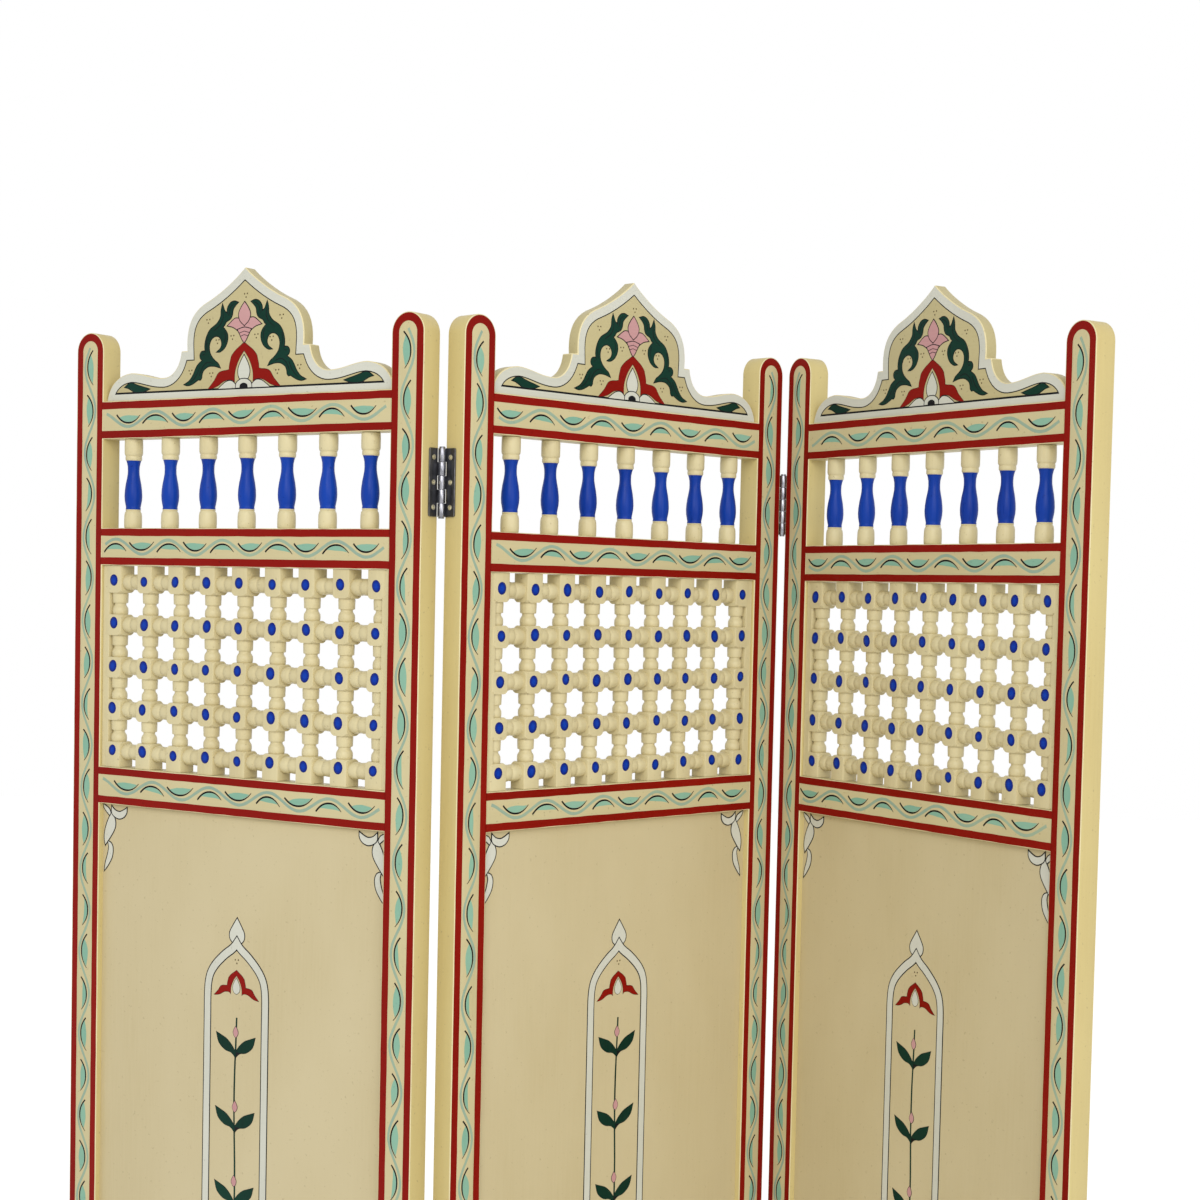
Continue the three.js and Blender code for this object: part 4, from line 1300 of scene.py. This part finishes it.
# %% [markdown]
# ## Blue dots on the lattice
#
# Every block carries one blue dot, put on with a loaded round brush. The paint stands in a low dome
# and runs darker at its rim, so a dot is a disc, inset and raised, and its mesh keeps how far each
# point lies from the middle for the colour to follow.

# %% The blue of a dot
dot_blue, dot_shader = new_material("dot_blue")
rim = dot_blue.node_tree.nodes.new("ShaderNodeAttribute")
rim.attribute_name = "rim"
grainy = add_range(dot_blue, add_noise(dot_blue, 700, 1, 3), 0.35, 0.65, 0, 0.5)
dot_shader.inputs["Specular IOR Level"].default_value = 0.12
middle_blue = add_mix(dot_blue, grainy, linear(8, 62, 172), linear(2, 42, 150))
dot_blue.node_tree.links.new(
    add_mix(dot_blue, add_range(dot_blue, rim.outputs["Fac"], 0.3, 1, 0, 1), middle_blue,
            linear(0, 18, 108)), dot_shader.inputs["Base Color"])
dot_blue.node_tree.links.new(
    add_range(dot_blue, add_noise(dot_blue, 300, 1, 2), 0.3, 0.7, 0.25, 0.4),
    dot_shader.inputs["Roughness"])
print("nodes in the blue:", len(dot_blue.node_tree.nodes))

# %% Model one dot
DOT_RADIUS = 5.8
DOT_TALL = 1.12
DOT_RISES = (0.12, 0.22, 0.1)


def new_dot():
    """A disc with its middle raised towards the viewer, and a little taller than wide."""
    rim_rise, shoulder_rise, top_rise = DOT_RISES
    bpy.ops.mesh.primitive_circle_add(vertices=14, radius=DOT_RADIUS, fill_type="NGON",
                                      rotation=(math.pi / 2, 0, 0))
    spot = bpy.context.object
    pick(spot)
    bpy.ops.object.transform_apply(location=True, rotation=True, scale=True)
    bpy.ops.object.mode_set(mode="EDIT")
    bpy.ops.mesh.select_all(action="SELECT")
    bpy.ops.mesh.extrude_region_move(TRANSFORM_OT_translate={"value": (0, -rim_rise, 0)})
    bpy.ops.mesh.inset(thickness=DOT_RADIUS * 0.32, depth=0)
    bpy.ops.transform.translate(value=(0, -shoulder_rise, 0))
    bpy.ops.mesh.inset(thickness=DOT_RADIUS * 0.4, depth=0)
    bpy.ops.transform.translate(value=(0, -top_rise, 0))
    bpy.ops.mesh.select_all(action="SELECT")
    bpy.ops.mesh.normals_make_consistent(inside=False)
    bpy.ops.object.mode_set(mode="OBJECT")
    value = spot.data.attributes.new("rim", "FLOAT", "POINT")
    for vertex, item in zip(spot.data.vertices, value.data):
        item.value = math.hypot(vertex.co.x, vertex.co.z) / DOT_RADIUS
    spot.data.transform(Matrix.Scale(DOT_TALL, 4, (0, 0, 1)))
    bpy.ops.object.shade_smooth()
    return spot


dot_model = new_dot()
print("dot:", len(dot_model.data.polygons), "faces")

# %% Dot the lattices
for panel in PANELS:
    dots = []
    for column in range(COLUMNS):
        for row in range(ROWS):
            spot = copied(dot_model, "spot")
            size = chance.uniform(0.92, 1.08)
            turn = Matrix.Rotation(chance.uniform(-0.4, 0.4), 4, "Y")
            x = FIRST_COLUMN + ACROSS * column + chance.uniform(-0.9, 0.9)
            z = FIRST_ROW + UP * row + 0.8 + chance.uniform(-1, 1)
            spot.data.transform(Matrix.Translation((x, LATTICE_FRONT + 0.05, z)) @ turn
                                @ Matrix.Diagonal((size, 1, size * chance.uniform(0.95, 1.08), 1)))
            dots.append(spot)
    pick(*dots)
    bpy.ops.object.join()
    dots = bpy.context.object
    dots.name = f"{panel}_lattice_dots"
    coat(dots, dot_blue)
    stand(dots, panel)
bpy.data.objects.remove(dot_model)
print("dots on each lattice:", COLUMNS * ROWS)

# %% [markdown]
# ## Hinges
#
# Steel butt hinges join the posts, two at each fold. A leaf is a plate with two rounded corners,
# and its knuckles are short tubes round the pin. The steel is brushed. Its colours are painted
# light
# and shade: the leaves are a dark grey, a painted reflection of dark surroundings, the knuckles a
# lighter grey with painted highlights, and the screws a yellowish plating painted pale for their
# glints.

# %% Metals
SCRATCH_RELIEF = 0.00004
SCRATCH_LIGHTER = 26


def metal(name, colour, dull, gloss, stretch):
    material, shader = new_material(name)
    links = material.node_tree.links
    scratch = add_noise(material, 900, stretch, 3)
    stain = add_range(material, add_noise(material, 120, 1, 4), 0.4, 0.68, 0, 0.8)
    worn = add_mix(material, stain, linear(*colour), linear(*dull))
    links.new(add_mix(material, add_range(material, scratch, 0.4, 0.75, 0, 0.35), worn,
                      linear(*[min(255, c + SCRATCH_LIGHTER) for c in colour])),
              shader.inputs["Base Color"])
    links.new(add_range(material, scratch, 0.3, 0.7, gloss - 0.08, gloss + 0.12),
              shader.inputs["Roughness"])
    shader.inputs["Metallic"].default_value = 1
    add_bump(material, scratch, SCRATCH_RELIEF)
    return material


# Painted light and shade: the leaves a dark grey that stands in for reflected dark surroundings,
# the knuckles and pin a lighter grey as a painted highlight, the screws a pale plating painted
# bright for their glints.
dark_painted_leaf_steel = metal("dark_painted_leaf_steel", (84, 85, 89), (62, 62, 64), 0.4, 0.05)
highlit_knuckle_steel = metal("highlit_knuckle_steel", (150, 150, 156), (100, 100, 106), 0.26, 0.06)
highlit_screw_brass = metal("highlit_screw_brass", (232, 226, 200), (196, 184, 140), 0.3, 1)
print("scratches stand up by", SCRATCH_RELIEF / MM, "mm")

# %% One knuckle
HINGE_TALL, KNUCKLES, KNUCKLE_R, PIN_R = 70, 5, 4, 2
LEAF_NEAR, LEAF_FAR, LEAF_WIDE = 2.5, 4.0, 17
KNUCKLE_ARRIS = 0.35
BORE_GAP = 0.15
KNUCKLE_GAP = 0.15


def new_knuckle(z0, z1):
    """A tube: a cylinder whose two ends are inset and bridged to each other."""
    bpy.ops.mesh.primitive_cylinder_add(vertices=28, radius=KNUCKLE_R, depth=z1 - z0,
                                        location=(0, 0, (z0 + z1) / 2))
    tube = bpy.context.object
    pick(tube)
    bpy.ops.object.transform_apply(location=True, rotation=True, scale=True)
    bpy.ops.object.mode_set(mode="EDIT")
    bpy.ops.mesh.select_mode(type="FACE")
    bpy.ops.mesh.select_all(action="DESELECT")
    form = bmesh.from_edit_mesh(tube.data)
    for face in form.faces:
        face.select_set(abs(face.normal.z) > 0.9)
    bmesh.update_edit_mesh(tube.data)
    bpy.ops.mesh.bevel(offset=KNUCKLE_ARRIS, segments=2, affect="EDGES")
    bpy.ops.mesh.select_all(action="DESELECT")
    form = bmesh.from_edit_mesh(tube.data)
    for face in form.faces:
        face.select_set(abs(face.normal.z) > 0.999)
    bmesh.update_edit_mesh(tube.data)
    bpy.ops.mesh.inset(thickness=KNUCKLE_R - KNUCKLE_ARRIS - PIN_R - BORE_GAP)
    bpy.ops.mesh.delete(type="FACE")
    bpy.ops.mesh.select_all(action="DESELECT")
    bpy.ops.mesh.select_mode(type="EDGE")
    bpy.ops.mesh.select_non_manifold()
    bpy.ops.mesh.bridge_edge_loops()
    bpy.ops.mesh.select_all(action="SELECT")
    bpy.ops.mesh.normals_make_consistent(inside=False)
    bpy.ops.object.mode_set(mode="OBJECT")
    coat(tube, highlit_knuckle_steel)
    bpy.ops.object.shade_smooth_by_angle(angle=SMOOTH_ANGLE)
    return tube


print("knuckle:", 2 * KNUCKLE_R, "mm across,", HINGE_TALL / KNUCKLES, "mm tall")


# %% One leaf
def new_leaf(first):
    """A leaf that stands to the right of its pin and reaches backwards.

    It has every second knuckle, from the first that is given.
    """
    plate = bar("plate", (LEAF_NEAR, KNUCKLE_R + 0.3, -HINGE_TALL / 2),
                (LEAF_FAR, LEAF_WIDE, HINGE_TALL / 2))
    coat(plate, dark_painted_leaf_steel, highlit_knuckle_steel)

    def is_free_corner(a, b):
        return abs(a.x - b.x) > 1 and a.y > LEAF_WIDE - 1
    bevel_edges(plate, is_free_corner, 2.2, 5)
    # The leaf's rounded edges take the lighter knuckle steel, a painted highlight along them.
    soften(plate, 0.25, 2, 50, material=ARRIS)
    parts = [plate]
    pitch = HINGE_TALL / KNUCKLES
    for k in range(first, KNUCKLES, 2):
        z0 = -HINGE_TALL / 2 + pitch * k + (KNUCKLE_GAP if k else 0)
        z1 = -HINGE_TALL / 2 + pitch * (k + 1) - (KNUCKLE_GAP if k < KNUCKLES - 1 else 0)
        parts.append(new_knuckle(z0, z1))
        wrap = bar("wrap", (LEAF_NEAR, 0, z0), (LEAF_FAR, KNUCKLE_R + 1, z1))
        coat(wrap, dark_painted_leaf_steel)
        bevel_edges(wrap, runs_in("z"), 0.2, 2)
        parts.append(wrap)
    pick(*parts)
    bpy.ops.object.join()
    return bpy.context.object


leaf_models = [new_leaf(0), new_leaf(1)]
print("leaf faces:", len(leaf_models[0].data.polygons))


# %% One screw and one pin
def new_screw():
    """A flat head with a chamfered rim and a slot, facing along -X."""
    profile = [(1.3, -6), (1.3, -0.4), (2.1, 0), (2.8, 0.25), (2.75, 0.5), (2.3, 0.62), (1.2, 0.68)]
    head = turned("head", profile, 20)
    slot = bar("slot", (-3.2, -0.32, 0.3), (3.2, 0.32, 1.2))
    pick(head)
    cut = head.modifiers.new("slot", "BOOLEAN")
    cut.object = slot
    cut.solver = "EXACT"
    bpy.ops.object.modifier_apply(modifier=cut.name)
    bpy.data.objects.remove(slot)
    coat(head, highlit_screw_brass)
    bpy.ops.object.shade_smooth_by_angle(angle=math.radians(30))
    turn = Matrix.Rotation(math.radians(-90), 4, "Y")
    head.data.transform(Matrix.Translation((LEAF_NEAR, 0, 0)) @ turn)
    return head


PIN_PROFILE = [(2.4, -36.8), (3, -36.5), (3.2, -36), (3.2, -35.5), (3, -35.3), (2, -35.2),
               (2, 35.2), (3, 35.3), (3.2, 35.5), (3.2, 36), (3, 36.5), (2.4, 36.8)]
screw_model = new_screw()
pin_model = turned("pin", PIN_PROFILE, 24)
coat(pin_model, highlit_knuckle_steel)
print("screw faces:", len(screw_model.data.polygons), "pin:", len(pin_model.data.polygons))

# %% [markdown]
# One leaf serves for all eight places. Mirroring it left to right moves it to the other side of its
# pin, and mirroring it front to back makes it reach into the post from the other face. A mesh that
# is mirrored once has its faces inside out, so they are turned round again.

# %% Hang the hinges
HINGE_END = 172
HINGE_LEVELS = {"lower": HINGE_END, "upper": POST_TOP - HINGE_END}
SCREW_Y = KNUCKLE_R + (LEAF_WIDE - KNUCKLE_R) / 2
SCREW_ZS = (-25.5, 0, 25.5)
PIN_Y = {"left": DEPTH + PIN_OFF, "right": -PIN_OFF}
REACH = {"left": -1, "right": 1}


def hang(model, name, panel, fold, side, level, nodes):
    """A hinge piece mirrored to its side of the pin and carried to its post."""
    piece = copied(model, name)
    piece.data.transform(Matrix.Diagonal((side, REACH[fold], 1, 1)))
    if side * REACH[fold] < 0:
        piece.data.flip_normals()
    x = WIDTH + PIN_ASIDE if side < 0 else -PIN_ASIDE
    piece.data.transform(Matrix.Translation((x, PIN_Y[fold], level)))
    return stand(piece, panel, nodes)


for fold in ("left", "right"):
    for level_name, level in HINGE_LEVELS.items():
        hinge = f"{fold}_hinge_{level_name}"
        centre_side = 1 if fold == "left" else -1
        for panel, side, model in (("centre", centre_side, leaf_models[0]),
                                   (fold, -centre_side, leaf_models[1])):
            node = f"{hinge}_leaf_{panel}"
            hang(model, f"{node}_steel", panel, fold, side, level, [node])
            for number, z in enumerate(SCREW_ZS):
                screw = copied(screw_model, "screw")
                spin = Matrix.Rotation(chance.uniform(0, math.pi), 4, "X")
                screw.data.transform(Matrix.Translation((0, SCREW_Y, z)) @ spin)
                hang(screw, f"{node}_screw_{number + 1}", panel, fold, side, level,
                     [])
                bpy.data.objects.remove(screw)
        hang(pin_model, f"{hinge}_pin_turned", "centre", fold, centre_side, level,
             [f"{hinge}_pin"])
for model in (screw_model, pin_model, *leaf_models):
    bpy.data.objects.remove(model)
print("hinges hung:", 2 * len(HINGE_LEVELS))

# %% [markdown]
# ## Floor, light and camera
#
# The screen stands on a plain pale floor in a white room. Two wide soft lamps in front and an even
# glow from all round give the light of a cloudy day, under which a colour looks as it was mixed.
# Whatever sees past the screen, the camera or a reflection, sees plain white.

# %% White for the camera
def white_for_rays(tree, plain, bright, out):
    """Mixes plain with bright, which camera, glossy and transmission rays see."""
    nodes, links = tree.nodes, tree.links
    path = nodes.new("ShaderNodeLightPath")
    total = path.outputs["Is Camera Ray"]
    for name in ("Is Glossy Ray", "Is Transmission Ray"):
        larger = nodes.new("ShaderNodeMath")
        larger.operation = "MAXIMUM"
        links.new(total, larger.inputs[0])
        links.new(path.outputs[name], larger.inputs[1])
        total = larger.outputs[0]
    mix = nodes.new("ShaderNodeMixShader")
    links.new(total, mix.inputs[0])
    links.new(plain, mix.inputs[1])
    links.new(bright, mix.inputs[2])
    links.new(mix.outputs[0], out)


print("rays that see white: camera, glossy and transmission")

# %% Floor
FLOOR_SIZE = 24
FLOOR_DROP = 0.0005
FLOOR_GLOW = 0.5
bpy.ops.mesh.primitive_plane_add(size=FLOOR_SIZE, location=(0, 0, -FLOOR_DROP))
floor = bpy.context.object
floor.name = "floor"
floor_paint, floor_shader = new_material("floor_paint")
floor_shader.inputs["Base Color"].default_value = (0.86, 0.86, 0.85, 1)
floor_shader.inputs["Roughness"].default_value = 0.9
floor_tree = floor_paint.node_tree
lift = floor_tree.nodes.new("ShaderNodeEmission")
lift.inputs["Strength"].default_value = FLOOR_GLOW
lifted = floor_tree.nodes.new("ShaderNodeAddShader")
floor_tree.links.new(floor_shader.outputs[0], lifted.inputs[0])
floor_tree.links.new(lift.outputs[0], lifted.inputs[1])
white_for_rays(floor_tree, floor_shader.outputs[0], lifted.outputs[0],
               floor_tree.nodes["Material Output"].inputs["Surface"])
coat(floor, floor_paint)
print("floor:", FLOOR_SIZE, "m wide")

# %% World
GLOW = 0.62
WHITE = (1, 1, 1, 1)
world = bpy.data.worlds.new("room")
bpy.context.scene.world = world
world.use_nodes = True
glow = world.node_tree.nodes["Background"]
glow.inputs["Color"].default_value = WHITE
glow.inputs["Strength"].default_value = GLOW
backdrop = world.node_tree.nodes.new("ShaderNodeBackground")
backdrop.inputs["Color"].default_value = WHITE
backdrop.inputs["Strength"].default_value = 1
white_for_rays(world.node_tree, glow.outputs[0], backdrop.outputs[0],
               world.node_tree.nodes["World Output"].inputs["Surface"])
print("glow from all round:", GLOW)


# %% Lamps
def soft_lamp(name, place, aim, power):
    """A round lamp as wide as a window, at a place and aimed at a point, both in metres."""
    bpy.ops.object.light_add(type="AREA", location=place)
    lamp = bpy.context.object
    lamp.name = name
    lamp.data.shape = "DISK"
    lamp.data.size = 3
    lamp.data.energy = power
    lamp.rotation_euler = (Vector(aim) - Vector(place)).to_track_quat("-Z", "Y").to_euler()
    return lamp


key = soft_lamp("key", (-0.5, -4.6, 3.4), (0, 0, 1.2), 100)
fill = soft_lamp("fill", (2.4, -4.2, 2.2), (0, 0, 1.1), 50)
print("lamps:", key.data.energy, "and", fill.data.energy, "W")

# %% [markdown]
# ## Where the camera stands
#
# The camera stands in front of the upper half of the screen and looks a little down. Its place,
# turn and lens were worked out from where the corners of the panels appear in the photograph. A
# small shift of the lens frames the screen without tilting the camera any more.

# %% Camera
CAMERA_AT = (0.04828, -2.2991, 1.4571)
CAMERA_TURN = (-0.884, -2.73, 1.288)
LENS = 63.19
LENS_SHIFT = (-0.0258, 0.08)
scene = bpy.context.scene
scene.view_settings.view_transform = "Standard"
bpy.ops.object.camera_add()
camera = bpy.context.object
scene.camera = camera
yaw, pitch, roll = (math.radians(angle) for angle in CAMERA_TURN)
ahead = Vector((-math.sin(yaw) * math.cos(pitch), math.cos(yaw) * math.cos(pitch),
                math.sin(pitch)))
level_right = Vector((math.cos(yaw), math.sin(yaw), 0))
level_up = level_right.cross(ahead)
right = math.cos(roll) * level_right + math.sin(roll) * level_up
up = -math.sin(roll) * level_right + math.cos(roll) * level_up
basis = Matrix((right, up, -ahead)).transposed().to_4x4()
camera.matrix_world = Matrix.Translation(CAMERA_AT) @ basis
camera.data.sensor_width = 36
camera.data.lens = LENS
camera.data.shift_x, camera.data.shift_y = LENS_SHIFT
print("camera at", tuple(round(c, 3) for c in camera.location))

# %% Finish
bpy.ops.object.select_all(action="DESELECT")
